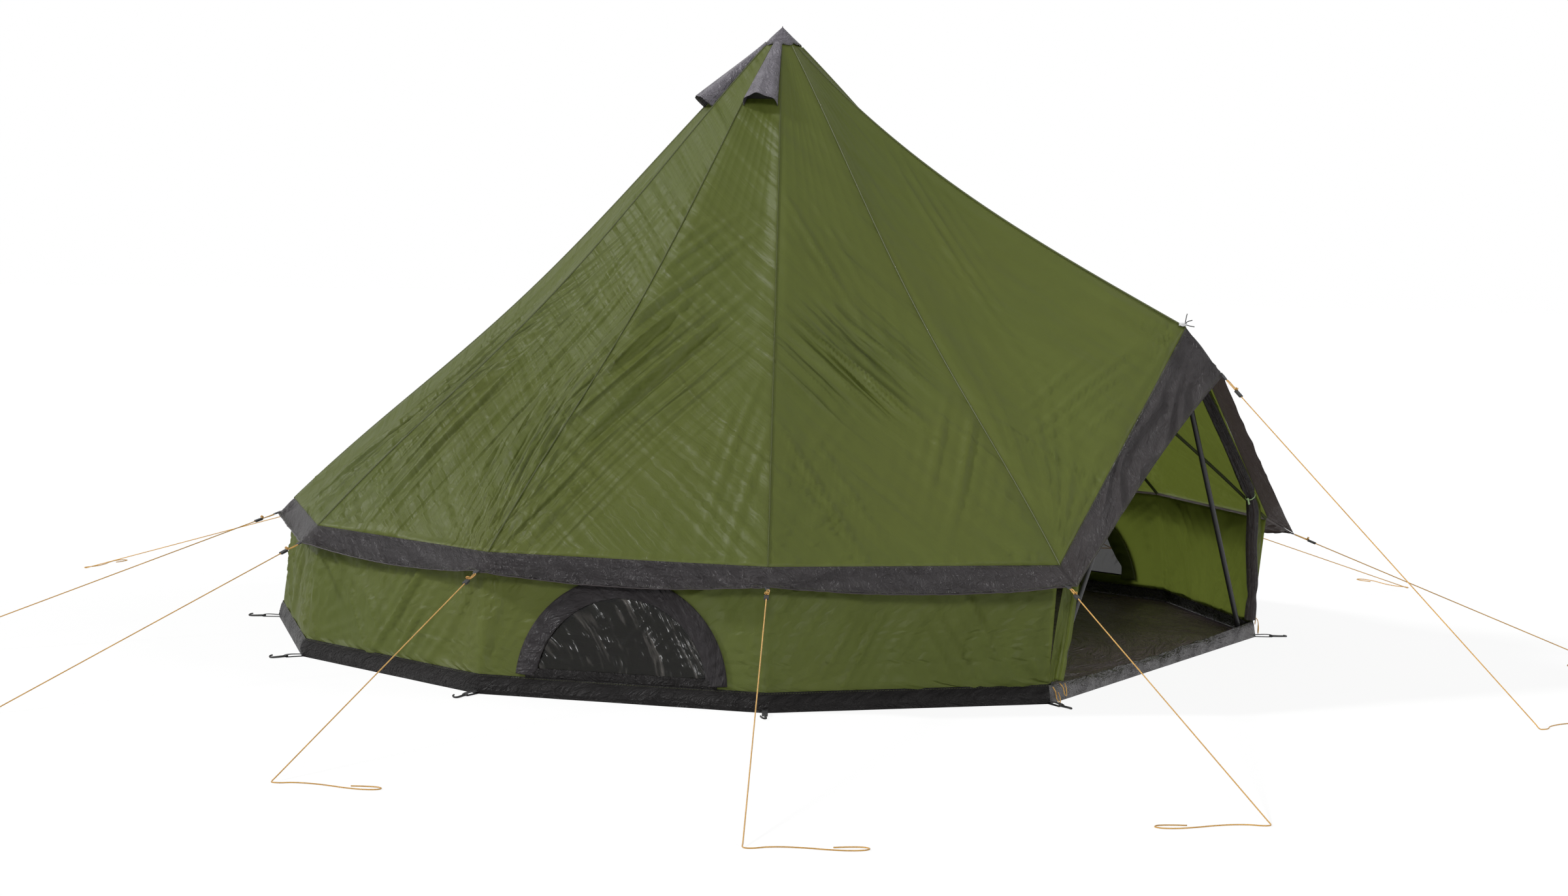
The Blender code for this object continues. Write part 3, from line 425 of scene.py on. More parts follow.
def tube_points(path, radius, sides=10):
    """Rings of points round a path, with the end rings drawn to its middle."""
    path = np.asarray(path, float)
    along = unit(np.gradient(path, axis=0))
    radius = np.broadcast_to(np.asarray(radius, float), (len(path),))
    side = np.cross(along[0], [0.0, 0.0, 1.0])
    if np.linalg.norm(side) < 0.05:
        side = np.cross(along[0], [0.0, 1.0, 0.0])
    turns = 2 * np.pi * np.arange(sides) / sides
    rings = []
    for point, way, reach in zip(path, along, radius):
        side = side - way * side.dot(way)
        side /= np.linalg.norm(side)
        other = np.cross(way, side)
        rings.append(point + reach * (np.outer(np.cos(turns), side) + np.outer(np.sin(turns), other)))
    rings = [np.tile(path[0], (sides, 1))] + rings + [np.tile(path[-1], (sides, 1))]
    return np.array(rings)


def tube_object(name, path, radius, material, sides=10):
    """A round cord or rod as a closed tube, with its UV map in metres along it."""
    made = sheet_object(name, tube_points(path, radius, sides), material, closed=True)
    spread_normals(made)
    return made


def smooth_path(points, spacing):
    """A smooth curve through points, with a point about every spacing."""
    points = np.asarray(points, float)
    padded = np.concatenate([[2 * points[0] - points[1]], points, [2 * points[-1] - points[-2]]])
    dense = []
    for a, b, c, d in zip(padded, padded[1:], padded[2:], padded[3:]):
        t = np.linspace(0, 1, 24, endpoint=False)[:, None]
        dense.append(0.5 * (2 * b + (c - a) * t + (2 * a - 5 * b + 4 * c - d) * t ** 2
                            + (3 * b - a - 3 * c + d) * t ** 3))
    dense = np.concatenate(dense + [points[-1:]])
    reach = np.concatenate([[0.0], np.cumsum(np.linalg.norm(np.diff(dense, axis=0), axis=1))])
    count = max(2, int(round(reach[-1] / spacing)) + 1)
    want = np.linspace(0, reach[-1], count)
    return np.stack([np.interp(want, reach, dense[:, axis]) for axis in range(3)], axis=-1)


# Shader maths

class Value:
    """A shader socket that Python's operators work on; each adds a Math node."""

    def __init__(self, shader, socket):
        self.shader, self.socket = shader, socket

    def _math(self, operation, *values):
        node = self.shader.add("ShaderNodeMath", {"operation": operation}, dict(enumerate(values)))
        return Value(self.shader, node.outputs[0])

    def __add__(self, other):
        return self._math("ADD", self, other)

    __radd__ = __add__

    def __sub__(self, other):
        return self._math("SUBTRACT", self, other)

    def __rsub__(self, other):
        return self._math("SUBTRACT", other, self)

    def __mul__(self, other):
        return self._math("MULTIPLY", self, other)

    __rmul__ = __mul__

    def clamp(self, low=0.0, high=1.0):
        return self._math("MINIMUM", self._math("MAXIMUM", self, low), high)

    def sine(self):
        return self._math("SINE", self)

    def absolute(self):
        return self._math("ABSOLUTE", self)


class Shader:
    """A material under construction."""

    def __init__(self, name):
        self.material = bpy.data.materials.new(name)
        self.material.use_nodes = True
        self.tree = self.material.node_tree
        self.surface = self.tree.nodes["Principled BSDF"]
        self.output = self.tree.nodes["Material Output"]

    def add(self, kind, settings=None, inputs=None):
        """A node of any type, with its settings and then the values or links of its sockets."""
        node = self.tree.nodes.new(kind)
        for key, value in (settings or {}).items():
            setattr(node, key, value)
        for key, value in (inputs or {}).items():
            self.set(node.inputs[key], value)
        return node

    def set(self, socket, value):
        if isinstance(value, Value):
            value = value.socket
        if isinstance(value, bpy.types.NodeSocket):
            self.tree.links.new(value, socket)
        elif hasattr(socket.default_value, "__len__") and len(socket.default_value) == 4:
            socket.default_value = tuple(value) if len(value) == 4 else (*value, 1.0)
        else:
            socket.default_value = value

    def coordinates(self, scale=(1.0, 1.0, 1.0), kind="Object", turn=0.0):
        source = self.add("ShaderNodeTexCoord")
        mapping = self.add("ShaderNodeMapping", None, {
            "Vector": source.outputs[kind], "Scale": scale, "Rotation": (0.0, 0.0, turn)})
        return mapping.outputs[0]

    def local(self, centre, axes, size):
        """Object coordinates seen from a place with its own axes, in units of size."""
        source = self.add("ShaderNodeTexCoord")
        mapping = self.add("ShaderNodeMapping", {"vector_type": "TEXTURE"}, {
            "Vector": source.outputs["Object"], "Location": centre, "Scale": size,
            "Rotation": tuple(Matrix(axes).transposed().to_euler())})
        return mapping.outputs[0]

    def within(self, vector):
        """1 in the middle of a unit ball, falling to 0 at its edge."""
        far = self.add("ShaderNodeVectorMath", {"operation": "LENGTH"}, {0: vector})
        reach = Value(self, far.outputs["Value"])
        return (1.0 - reach * reach).clamp()

    def noise(self, vector, scale, detail=3.0, roughness=0.5, distortion=0.0):
        node = self.add("ShaderNodeTexNoise", None, {
            "Vector": vector, "Scale": scale, "Detail": detail, "Roughness": roughness,
            "Distortion": distortion})
        return Value(self, node.outputs["Fac"])

    def grain(self, scale, detail=3.0):
        return self.noise(self.coordinates(), scale, detail, 0.6)

    def uv(self):
        """The two directions of the UV map, as values in metres."""
        source = self.add("ShaderNodeSeparateXYZ", None, {0: self.coordinates(kind="UV")})
        return Value(self, source.outputs[0]), Value(self, source.outputs[1])

    def creased(self, vector, scale, detail=3.0, roughness=0.55, distortion=0.8):
        """Height of crumpled sheet: flat facets that meet in sharp valleys."""
        return (self.noise(vector, scale, detail, roughness, distortion) - 0.5).absolute() * 2.0

    def mix(self, factor, first, second):
        node = self.add("ShaderNodeMix", {"data_type": "RGBA"}, {0: factor})
        self.set(node.inputs[6], first)
        self.set(node.inputs[7], second)
        return node.outputs[2]

    def bump(self, height, distance, strength=1.0, normal=None):
        inputs = {"Height": height, "Distance": distance, "Strength": strength}
        if normal is not None:
            inputs["Normal"] = normal
        return self.add("ShaderNodeBump", None, inputs).outputs[0]

    def principled(self, **inputs):
        for key, value in inputs.items():
            self.set(self.surface.inputs[key.replace("_", " ")], value)

    def translucent(self, light, share, normal=None):
        """Let light through: a mix of the surface with light that comes from behind."""
        inputs = {"Color": light}
        if normal is not None:
            inputs["Normal"] = normal
        glow = self.add("ShaderNodeBsdfTranslucent", None, inputs)
        mixed = self.add("ShaderNodeMixShader", None, {0: share, 1: self.surface.outputs[0],
                                                       2: glow.outputs[0]})
        self.tree.links.new(mixed.outputs[0], self.output.inputs[0])


def once(build):
    """Build a material the first time that it is asked for."""
    def found():
        name = build.__name__
        return bpy.data.materials.get(name) or build(Shader(name))
    return found


def scaled(tint, factor):
    return tuple(min(1.0, part * factor) for part in tint)


def mottled(sh, mottle, dark, light, roughness, spread, relief=None, **inputs):
    """A finish between two tones that its roughness follows; relief is a height, distance and strength."""
    if relief is not None:
        inputs["Normal"] = sh.bump(*relief)
    sh.principled(Base_Color=sh.mix(mottle, dark, light), Roughness=roughness + mottle * spread, **inputs)
    return sh.material


# Folds that the cloth's relief adds to those of its mesh
RELIEF_GORES = (1, 2, 3, 4)
RELIEF_DEPTH = 0.019
RELIEF_GAIN = 90


@once
def canopy_cloth(sh):
    """Coated olive polyester: satin streaks down the cloth, smoother in its roughness and painted lighter as
    sheen in its colour, fine tension lines and a plain weave.
    """
    tint = finish().canopy
    streak_and_painted_sheen = sh.noise(sh.coordinates((9.0, 0.9, 1.0), "UV"), 1.6, 5.0, 0.6)
    cloud = sh.noise(sh.coordinates(), 1.1, 4.0, 0.55)
    # painted sheen: the satin streaks are painted lighter into the base colour, and they also vary the
    # roughness
    base = sh.mix(streak_and_painted_sheen, scaled(tint, 0.86), scaled(tint, 1.16))
    base = sh.mix((cloud - 0.35).clamp() * 0.9, base, (tint[0] * 1.28, tint[1] * 1.12, tint[2] * 1.05))
    lines = sh.noise(sh.coordinates((26.0, 1.6, 1.0), "UV", 0.05), 1.5, 4.0, 0.55, 0.6)
    pucker = sh.noise(sh.coordinates((7.0, 2.4, 1.0), "UV", -0.3), 2.1, 4.0, 0.5, 1.2)
    weave = (sh.noise(sh.coordinates((900.0, 60.0, 1.0), "UV"), 1.0, 1.0)
             + sh.noise(sh.coordinates((60.0, 900.0, 1.0), "UV"), 1.0, 1.0))
    folds = sh.noise(sh.coordinates((5.0, 0.6, 1.0), "UV", 0.12), 2.0, 1.0, 0.5, 0.3) * 0.42
    for gore, centre, reach, tilt, pitch, depth in SLANTED:
        if gore in RELIEF_GORES and depth >= RELIEF_DEPTH:
            place, axes = gore_frame(gore, centre, tilt)
            run = sh.noise(sh.local(place, axes, (1.1, pitch * 0.75, 0.8)), 1.0, 1.5, 0.5, 0.25)
            mask = sh.within(sh.local(place, axes, (reach[0] * 1.5, reach[1] * 1.7, 0.7)))
            folds = folds + (run - 0.5) * mask * mask * (depth * RELIEF_GAIN)
    relief = sh.bump(folds, 0.050)
    relief = sh.bump(lines * 0.8 + pucker * 0.8, 0.005, 0.8, relief)
    relief = sh.bump(weave, 0.0002, 0.3, relief)
    sh.principled(Base_Color=base, Roughness=0.44 + streak_and_painted_sheen * 0.14, Specular_IOR_Level=0.32, Normal=relief)
    sh.translucent(finish().canopy_light, 0.45)
    return sh.material


def coated_cloth(sh, tint, shine=0.30, depth=0.020):
    """Coated cloth, crumpled and slightly shiny."""
    cloud = sh.grain(5.0, 4.0)
    crumple = sh.creased(sh.coordinates((5.0, 9.0, 1.0), "UV", 0.5), 1.7, 4.0, 0.6, 1.2)
    crossed = sh.creased(sh.coordinates((9.0, 5.0, 1.0), "UV", -0.7), 2.3, 4.0, 0.6, 1.2)
    fine = sh.noise(sh.coordinates((60.0, 20.0, 1.0), "UV"), 1.5, 3.0, 0.5, 0.5)
    return mottled(sh, cloud, scaled(tint, 0.72), scaled(tint, 1.45), 0.33, 0.14,
                   (crumple * 1.4 + crossed + fine * 0.15, depth, 0.85), Specular_IOR_Level=shine)


@once
def trim_cloth(sh):
    coated_cloth(sh, finish().trim)
    sh.translucent(finish().trim_light, 0.30)
    return sh.material


@once
def edging_cloth(sh):
    return coated_cloth(sh, finish().edging, 0.08)


@once
def sill_cloth(sh):
    return coated_cloth(sh, finish().trim, 0.75, 0.030)


# painted light: a paler copy of the grey trim cloth, for the cap and vent hoods that face up to the lamps
@once
def cap_cloth(sh):
    return coated_cloth(sh, finish().cap)


@once
def window_film(sh):
    """Dark netting over clear film: it shows what is behind, and its creases carry a painted highlight."""
    tint = finish().film
    crumple = sh.creased(sh.coordinates((6.0, 1.3, 1.0), "UV", 0.6), 2.0, 3.0, 0.6, 0.7)
    crossed = sh.creased(sh.coordinates((5.0, 1.2, 1.0), "UV", -0.9), 2.0, 3.0, 0.6, 0.7)
    # painted highlight: the crease facets are painted lighter in the base colour and made less see-through
    shine = ((crumple + crossed) * 3.2 - 1.0).clamp()
    sh.principled(Base_Color=sh.mix(shine, scaled(tint, 0.3), scaled(tint, 6.5)),
                  Roughness=0.20 + crumple * 0.2, Specular_IOR_Level=0.28,
                  Normal=sh.bump(crumple + crossed, 0.008, 0.8), Alpha=shine * 0.12 + 0.74)
    return sh.material


@once
def vent_net(sh):
    """Black netting, too fine to see through from outside."""
    over, down = sh.uv()
    mesh = (over * 3000.0).sine() * (down * 3000.0).sine()
    return mottled(sh, sh.grain(30.0), (0.004, 0.004, 0.004), (0.012, 0.012, 0.011), 0.6, 0.2,
                   (mesh, 0.0004, 0.5))


@once
def floor_sheet(sh):
    """Dark coated floor with soft creases."""
    tint = finish().floor
    crumple = sh.creased(sh.coordinates((2.0, 4.0, 1.0), "UV"), 2.0, 5.0, 0.6, 1.0)
    return mottled(sh, sh.grain(2.2, 5.0), scaled(tint, 0.6), scaled(tint, 1.9), 0.24, 0.14,
                   (crumple * 1.3 + sh.grain(70.0) * 0.06, 0.030, 0.9), Specular_IOR_Level=0.6)


@once
def seam_tape(sh):
    """Dark green tape over a seam."""
    tint, grain = scaled(finish().canopy, 0.42), sh.grain(40.0)
    return mottled(sh, grain, scaled(tint, 0.8), scaled(tint, 1.2), 0.5, 0.15, (grain, 0.0006, 0.5))


@once
def seam_cloth(sh):
    """The same olive cloth folded double in a felled seam."""
    tint, grain = finish().canopy, sh.grain(30.0)
    return mottled(sh, grain, scaled(tint, 0.40), scaled(tint, 0.62), 0.58, 0.15, (grain, 0.0008, 0.6))


@once
def thread(sh):
    """Sewing thread."""
    tint = scaled(finish().canopy, 0.5)
    return mottled(sh, sh.grain(300.0, 2.0), scaled(tint, 0.7), scaled(tint, 1.4), 0.6, 0.1)


@once
def woven_tape(sh):
    """Black webbing with ribs across it."""
    tint = finish().webbing
    over, down = sh.uv()
    ribs = (over * 2400.0).sine() + (down * 3600.0).sine()
    return mottled(sh, sh.grain(160.0), scaled(tint, 0.7), scaled(tint, 2.2), 0.55, 0.2, (ribs, 0.0004, 0.6))


@once
def braided_cord(sh):
    """Orange cord: two crossed sets of strands wind round it, some of them paler."""
    tint = finish().cord
    pale = (tint[0] * 1.2, tint[1] * 1.45, tint[2] * 2.2)
    over, down = sh.uv()
    around, along = over * 1257.0, down * 900.0
    strands = (around + along).sine() * (around - along).sine()
    worn = sh.grain(14.0, 4.0)
    sh.principled(Base_Color=sh.mix((strands * 0.35 + worn).clamp(), scaled(tint, 0.62), pale),
                  Roughness=0.62 + worn * 0.15, Sheen_Weight=0.2, Normal=sh.bump(strands, 0.0007, 0.9))
    return sh.material


def moulded(sh, tint, roughness):
    """Moulded plastic with a fine eroded grain and handling marks."""
    return mottled(sh, sh.grain(22.0, 4.0), scaled(tint, 0.8), scaled(tint, 1.25), roughness, 0.15,
                   (sh.grain(260.0), 0.0002, 0.4))


@once
def black_plastic(sh):
    return moulded(sh, (0.014, 0.014, 0.015), 0.36)


@once
def pale_plastic(sh):
    return moulded(sh, finish().toggle, 0.4)


@once
def orange_plastic(sh):
    return moulded(sh, finish().cord, 0.42)


@once
def pole_steel(sh):
    """Galvanised tube with a faint drawn grain along it."""
    drawn = sh.noise(sh.coordinates((90.0, 90.0, 1.2)), 2.0, 4.0, 0.6)
    spangle = sh.noise(sh.coordinates(), 60.0, 2.0, 0.5)
    sh.principled(Base_Color=sh.mix(spangle, (0.40, 0.41, 0.42), (0.62, 0.63, 0.64)), Metallic=0.95,
                  Roughness=0.26 + drawn * 0.2, Normal=sh.bump(drawn, 0.0003, 0.4))
    return sh.material


@once
def frame_paint(sh):
    """Black powder coat on steel tube, rubbed a little at the joints."""
    pits = sh.noise(sh.coordinates(), 420.0, 2.0, 0.5)
    rubbed = sh.noise(sh.coordinates(), 9.0, 5.0, 0.65)
    return mottled(sh, rubbed, (0.008, 0.008, 0.009), (0.022, 0.022, 0.024), 0.34, 0.2, (pits, 0.0002, 0.5),
                   Metallic=0.2)


@once
def white_tape(sh):
    """Off-white cloth tape."""
    grain = sh.grain(120.0)
    return mottled(sh, grain, (0.45, 0.45, 0.46), (0.62, 0.62, 0.62), 0.7, 0.1, (grain, 0.0006, 0.6))


# Geometry node trees for what follows a line or repeats

class Tree:
    """A geometry node tree with one geometry in and one out."""

    def __init__(self, name):
        self.tree = bpy.data.node_groups.new(name, "GeometryNodeTree")
        self.tree.interface.new_socket("Geometry", in_out="INPUT", socket_type="NodeSocketGeometry")
        self.tree.interface.new_socket("Geometry", in_out="OUTPUT", socket_type="NodeSocketGeometry")
        self.source = self.tree.nodes.new("NodeGroupInput")
        self.result = self.tree.nodes.new("NodeGroupOutput")
        self.names = {}

    def input(self, name, kind, default=None):
        socket = self.tree.interface.new_socket(name, in_out="INPUT", socket_type=kind)
        if default is not None:
            socket.default_value = default
        self.names[name] = socket.identifier
        return self.source.outputs[name]

    def add(self, kind, settings=None, inputs=None):
        node = self.tree.nodes.new(kind)
        for key, value in (settings or {}).items():
            setattr(node, key, value)
        for key, value in (inputs or {}).items():
            if isinstance(value, bpy.types.NodeSocket):
                self.tree.links.new(value, node.inputs[key])
            else:
                node.inputs[key].default_value = value
        return node

    def level(self):
        """The curves that come in, with their normals turned level."""
        return self.add("GeometryNodeSetCurveNormal", {"mode": "Z_UP"}, {"Curve": self.source.outputs[0]})

    def finish(self, geometry):
        """End in Realize Instances and Set Material."""
        cloth = self.input("material", "NodeSocketMaterial")
        real = self.add("GeometryNodeRealizeInstances", None, {0: geometry})
        dressed = self.add("GeometryNodeSetMaterial", None, {"Geometry": real.outputs[0], "Material": cloth})
        self.tree.links.new(dressed.outputs[0], self.result.inputs[0])
        return self

    def apply(self, made, **values):
        """Run the tree on an object and keep the plain mesh."""
        change = made.modifiers.new(self.tree.name, "NODES")
        change.node_group = self.tree
        for name, value in values.items():
            change[self.names[name]] = value
        return bake_modifiers(made)


def tape_tree():
    """A flat tape along curves: width across them, level, and thickness."""
    tree = Tree("flat_tape")
    width = tree.input("width", "NodeSocketFloat", 0.014)
    thickness = tree.input("thickness", "NodeSocketFloat", 0.0012)
    profile = tree.add("GeometryNodeCurvePrimitiveQuadrilateral", None, {"Width": thickness, "Height": width})
    tape = tree.add("GeometryNodeCurveToMesh", None, {
        "Curve": tree.level().outputs[0], "Profile Curve": profile.outputs[0], "Fill Caps": True})
    return tree.finish(tape.outputs[0])


def stitch_tree():
    """Stitches along curves: small bars in line with them."""
    tree = Tree("stitches")
    spacing = tree.input("spacing", "NodeSocketFloat", 0.010)
    bar = tree.input("bar", "NodeSocketVector", (0.0011, 0.0011, 0.0065))
    points = tree.add("GeometryNodeCurveToPoints", {"mode": "LENGTH"}, {
        "Curve": tree.level().outputs[0], "Length": spacing})
    cube = tree.add("GeometryNodeMeshCube", None, {"Size": bar})
    bars = tree.add("GeometryNodeInstanceOnPoints", None, {
        "Points": points.outputs[0], "Instance": cube.outputs[0], "Rotation": points.outputs["Rotation"]})
    return tree.finish(bars.outputs[0])


def corner_tree():
    """One piece repeated at points, each turned about the vertical by its turn attribute."""
    tree = Tree("repeat_at_corners")
    piece = tree.input("piece", "NodeSocketObject")
    source = tree.add("GeometryNodeObjectInfo", {"transform_space": "ORIGINAL"}, {"Object": piece})
    turn = tree.add("GeometryNodeInputNamedAttribute", {"data_type": "FLOAT"}, {"Name": "turn"})
    spin = tree.add("ShaderNodeCombineXYZ", None, {"Z": turn.outputs[0]})
    rotation = tree.add("FunctionNodeEulerToRotation", None, {0: spin.outputs[0]})
    copies = tree.add("GeometryNodeInstanceOnPoints", None, {
        "Points": tree.source.outputs[0], "Instance": source.outputs["Geometry"],
        "Rotation": rotation.outputs[0]})
    return tree.finish(copies.outputs[0])


def line_curves(name, paths):
    """An object of open poly splines, one a path."""
    curve = bpy.data.curves.new(name, "CURVE")
    curve.dimensions = "3D"
    for path in paths:
        spline = curve.splines.new("POLY")
        spline.points.add(len(path) - 1)
        spline.points.foreach_set("co", np.concatenate([path, np.ones((len(path), 1))], 1).reshape(-1))
    return linked(name, curve)


def tape_along(name, paths, width, thickness, cloth, slot):
    """Flat tape along paths, as a finished piece."""
    tape = tape_tree().apply(line_curves(name, paths), width=width, thickness=thickness, material=cloth)
    placed(tape, slot)


def stitch_along(name, paths, spacing, slot="trim"):
    """Rows of stitches along paths, as a finished piece."""
    stitches = stitch_tree().apply(line_curves(name, paths), spacing=spacing, material=thread())
    placed(stitches, slot)


# The roof

ROOF_ROWS = 150
ROOF_COLUMNS = 52


def gore_grid(first, second):
    """Straight cloth between two roof seams, from the ring to the eave."""
    shares = np.linspace(0, 1, ROOF_ROWS + 1)
    start, end = seam_curve(first, shares), seam_curve(second, shares)
    return mix_points(start[:, None], end[:, None], shares_across(ROOF_COLUMNS))


def slanted_folds(x, y, centre, reach, tilt, pitch, depth, seed):
    """A bundle of long folds, each with its own length: middle, reach along and across, tilt from level."""
    along = (x - centre[0]) * math.cos(tilt) + (y - centre[1]) * math.sin(tilt)
    over = -(x - centre[0]) * math.sin(tilt) + (y - centre[1]) * math.cos(tilt)
    bend = (over + 0.022 * waves(along, over, seed, low=0.2, high=0.7)) / pitch
    number = np.round(bend)
    phase = math.pi * (bend - number)
    ridge = np.cos(phase) ** 2 * (1 + 0.55 * np.sin(2 * phase))
    middle = reach[0] * 0.35 * np.sin(12.99 * number + seed)
    span = reach[0] * (0.72 + 0.28 * np.sin(7.23 * number + 1.7 * seed))
    height = 0.62 + 0.38 * np.sin(3.77 * number + 0.3 * seed)
    return depth * ridge * height * np.exp(-((along - middle) / span) ** 2) * hump(over, 0, reach[1])


# Folds that the roof shows: gore, middle across and down in metres, reach, tilt, pitch, depth
SLANTED = (
    (0, (0.10, 2.60), (0.45, 0.25), -0.30, 0.060, 0.012),
    (0, (-0.05, 1.70), (0.60, 0.14), 1.40, 0.070, 0.012),
    (0, (0.40, 2.70), (0.70, 0.16), -1.20, 0.060, 0.012),
    (1, (0.05, 2.10), (0.34, 0.30), -0.99, 0.100, 0.036),
    (1, (0.36, 2.80), (0.55, 0.20), -1.30, 0.065, 0.018),
    (1, (-0.30, 2.85), (0.50, 0.22), 1.20, 0.065, 0.018),
    (1, (0.10, 1.30), (0.40, 0.14), -1.30, 0.060, 0.013),
    (2, (0.26, 2.20), (0.50, 0.40), 1.03, 0.100, 0.039),
    (2, (0.14, 1.52), (0.36, 0.22), 0.92, 0.070, 0.016),
    (2, (0.42, 2.95), (0.50, 0.20), 1.11, 0.070, 0.021),
    (2, (-0.38, 2.85), (0.60, 0.16), 1.50, 0.065, 0.017),
    (3, (0.20, 2.50), (0.90, 0.40), 1.50, 0.100, 0.027),
    (3, (-0.42, 2.85), (0.60, 0.20), -1.30, 0.065, 0.027),
    (3, (-0.05, 1.60), (0.60, 0.16), 1.45, 0.080, 0.017),
    (4, (-0.20, 2.40), (1.10, 0.34), 1.45, 0.080, 0.034),
    (5, (-0.10, 2.30), (0.80, 0.40), -1.25, 0.085, 0.018),
    (6, (0.15, 2.10), (0.80, 0.40), 1.20, 0.090, 0.020),
    (7, (-0.20, 2.40), (0.60, 0.45), 1.05, 0.085, 0.024),
    (8, (0.10, 2.00), (0.70, 0.40), -1.10, 0.090, 0.020),
    (9, (-0.25, 2.40), (0.60, 0.45), 1.00, 0.085, 0.026),
    (10, (0.10, 2.10), (0.60, 0.40), -1.05, 0.090, 0.019),
    (11, (-0.10, 2.60), (0.45, 0.25), -0.30, 0.065, 0.012),
)


def gore_frame(index, centre, tilt):
    """Place of a fold on its gore, and its axes: along it, across it, off the cloth."""
    seams = roof_seams()
    points = gore_grid(seams[index], seams[index + 1])
    down = arc_length(points, 0).mean(axis=1)
    row = min(max(int(np.searchsorted(down, centre[1])), 1), len(points) - 2)
    width = np.linalg.norm(points[row, -1] - points[row, 0])
    column = int(round((centre[0] / width + 0.5) * (points.shape[1] - 1)))
    column = min(max(column, 1), points.shape[1] - 2)
    across = Vector(points[row, -1] - points[row, 0]).normalized()
    fall = Vector(points[row + 1, column] - points[row - 1, column]).normalized()
    off = across.cross(fall).normalized()
    fall = off.cross(across)
    along = across * math.cos(tilt) + fall * math.sin(tilt)
    return tuple(points[row, column]), (along, off.cross(along), off)


def gore_folds(index, points):
    """How far the cloth of one gore stands off its straight surface."""
    down = arc_length(points, 0).mean(axis=1, keepdims=True) * np.ones(points.shape[1])
    width = np.linalg.norm(points[:, -1] - points[:, 0], axis=-1)[:, None]
    share = np.linspace(0, 1, points.shape[1])[None, :]
    across = (share - 0.5) * width
    tall = down[-1, 0]
    up = tall - down
    seed = 40 + 7 * index
    from_first, from_second = share * width, (1 - share) * width
    side = 1 / (1 + np.exp((share - 0.42) * 16))
    lift = 0.014 * fan(from_first, up, seed, 12.0, 0.75) * side
    lift += 0.014 * fan(from_second, up, seed + 3, 13.0, 0.75) * side[:, ::-1]
    pleats = crest(math.pi * (share * 9 + 0.3 * waves(share, down * 0.3, seed + 5)) + seed, 1.3)
    lift += 0.0035 * pleats * np.exp(-down / 1.3) * np.minimum(width / 0.3, 1)
    pleats = crest(math.pi * (share * 17 + 0.5 * waves(share, down, seed + 6)), 1.4)
    lift += 0.0045 * pleats * np.exp(-up / 0.10)
    hills = waves(across * 1.4, down * 0.45, seed + 1, low=0.4, high=1.3)
    lift += 0.011 * hills * np.minimum(width / 0.6, 1)
    pleats = crest(math.pi * 10 * (across + 0.04 * waves(across, down * 0.4, seed + 9)), 1.2)
    lift += 0.0034 * pleats * np.clip(waves(across * 1.5, down * 0.6, seed + 12), 0, 1.5)
    lift -= 0.014 * np.sin(math.pi * share) * np.sin(math.pi * np.minimum(down / tall, 1)) ** 0.8
    for gore, centre, reach, tilt, pitch, depth in SLANTED:
        if gore == index:
            lift += slanted_folds(across, down, centre, reach, tilt, pitch, depth, seed + 2)
    return lift * (held(np.minimum(from_first, from_second), 0.035) * held(up, 0.02) * held(down, 0.05))


def roof_half(first):
    """Grid of six gores side by side, sharing their seams."""
    seams = roof_seams()
    gores = []
    for index in range(first, first + shape().panels + 1):
        points = gore_grid(seams[index], seams[index + 1])
        gores.append(puffed(points, gore_folds(index, points)))
    return side_by_side(gores)


class TENT_OT_roof(bpy.types.Operator):
    """The two halves of the roof, gathered from its gores"""

    bl_idname = "tent.roof"
    bl_label = "Roof"

    def execute(self, context):
        for name, first in (("left", 0), ("right", shape().panels + 1)):
            points = roof_half(first)
            roof = outward_sheet(f"roof_cloth_{name}", points, canopy_cloth(), shape().cloth)
            placed(roof, "canopy", f"roof_{name}")
        return {"FINISHED"}


def seam_paths(offset=0.0, lift=0.0, count=70, start=0.02):
    """Paths down every roof seam, moved sideways and off the cloth."""
    shares = np.linspace(start, 1.0, count)
    paths = []
    for azimuth in roof_seams()[:-1]:
        path = seam_curve(azimuth, shares)
        turn = DOOR if azimuth is None else azimuth
        side = np.array([-math.sin(turn), math.cos(turn), 0.0])
        normal = np.cross(side, unit(np.gradient(path, axis=0)))
        normal *= np.sign(normal[:, 2:3])
        # the gores fall away from a seam on both sides
        fall = abs(offset) * math.tan((math.pi - shape().door / 2) / shape().panels / 2) * 0.75
        paths.append(path + side * offset + normal * (lift - fall))
    return paths


class TENT_OT_seams(bpy.types.Operator):
    """Felled seams, inner tapes and stitching of the roof"""

    bl_idname = "tent.seams"
    bl_label = "Roof seams"

    def execute(self, context):
        tape_along("roof_seam_felling", seam_paths(lift=0.0006), 0.012, 0.0016, seam_cloth(), "canopy")
        tape_along("roof_seam_lining", seam_paths(lift=-0.0045), 0.022, 0.0012, seam_tape(), "canopy")
        rows = seam_paths(0.0042, 0.0022, 160) + seam_paths(-0.0042, 0.0022, 160)
        stitch_along("roof_stitching", rows, ROOF_STITCH, "canopy")
        return {"FINISHED"}


# The wall

WALL_ROWS = 34
WALL_COLUMNS = 64
WALL_TUCK = 0.004
HALF_PANEL = math.radians(15.0)


def wall_corner(azimuth, top):
    s = shape()
    if top:
        return plan(eave_radius(azimuth) - 2 * WALL_TUCK, azimuth, s.eave_height - 0.011)
    return plan(base_radius(azimuth) - s.lean, azimuth, s.tub - 0.012)


def panel_grid(first, second):
    across = shares_across(WALL_COLUMNS)
    low, high = [mix_points(wall_corner(first, top), wall_corner(second, top), across)
                 for top in (False, True)]
    return mix_points(low, high, shares_down(WALL_ROWS))


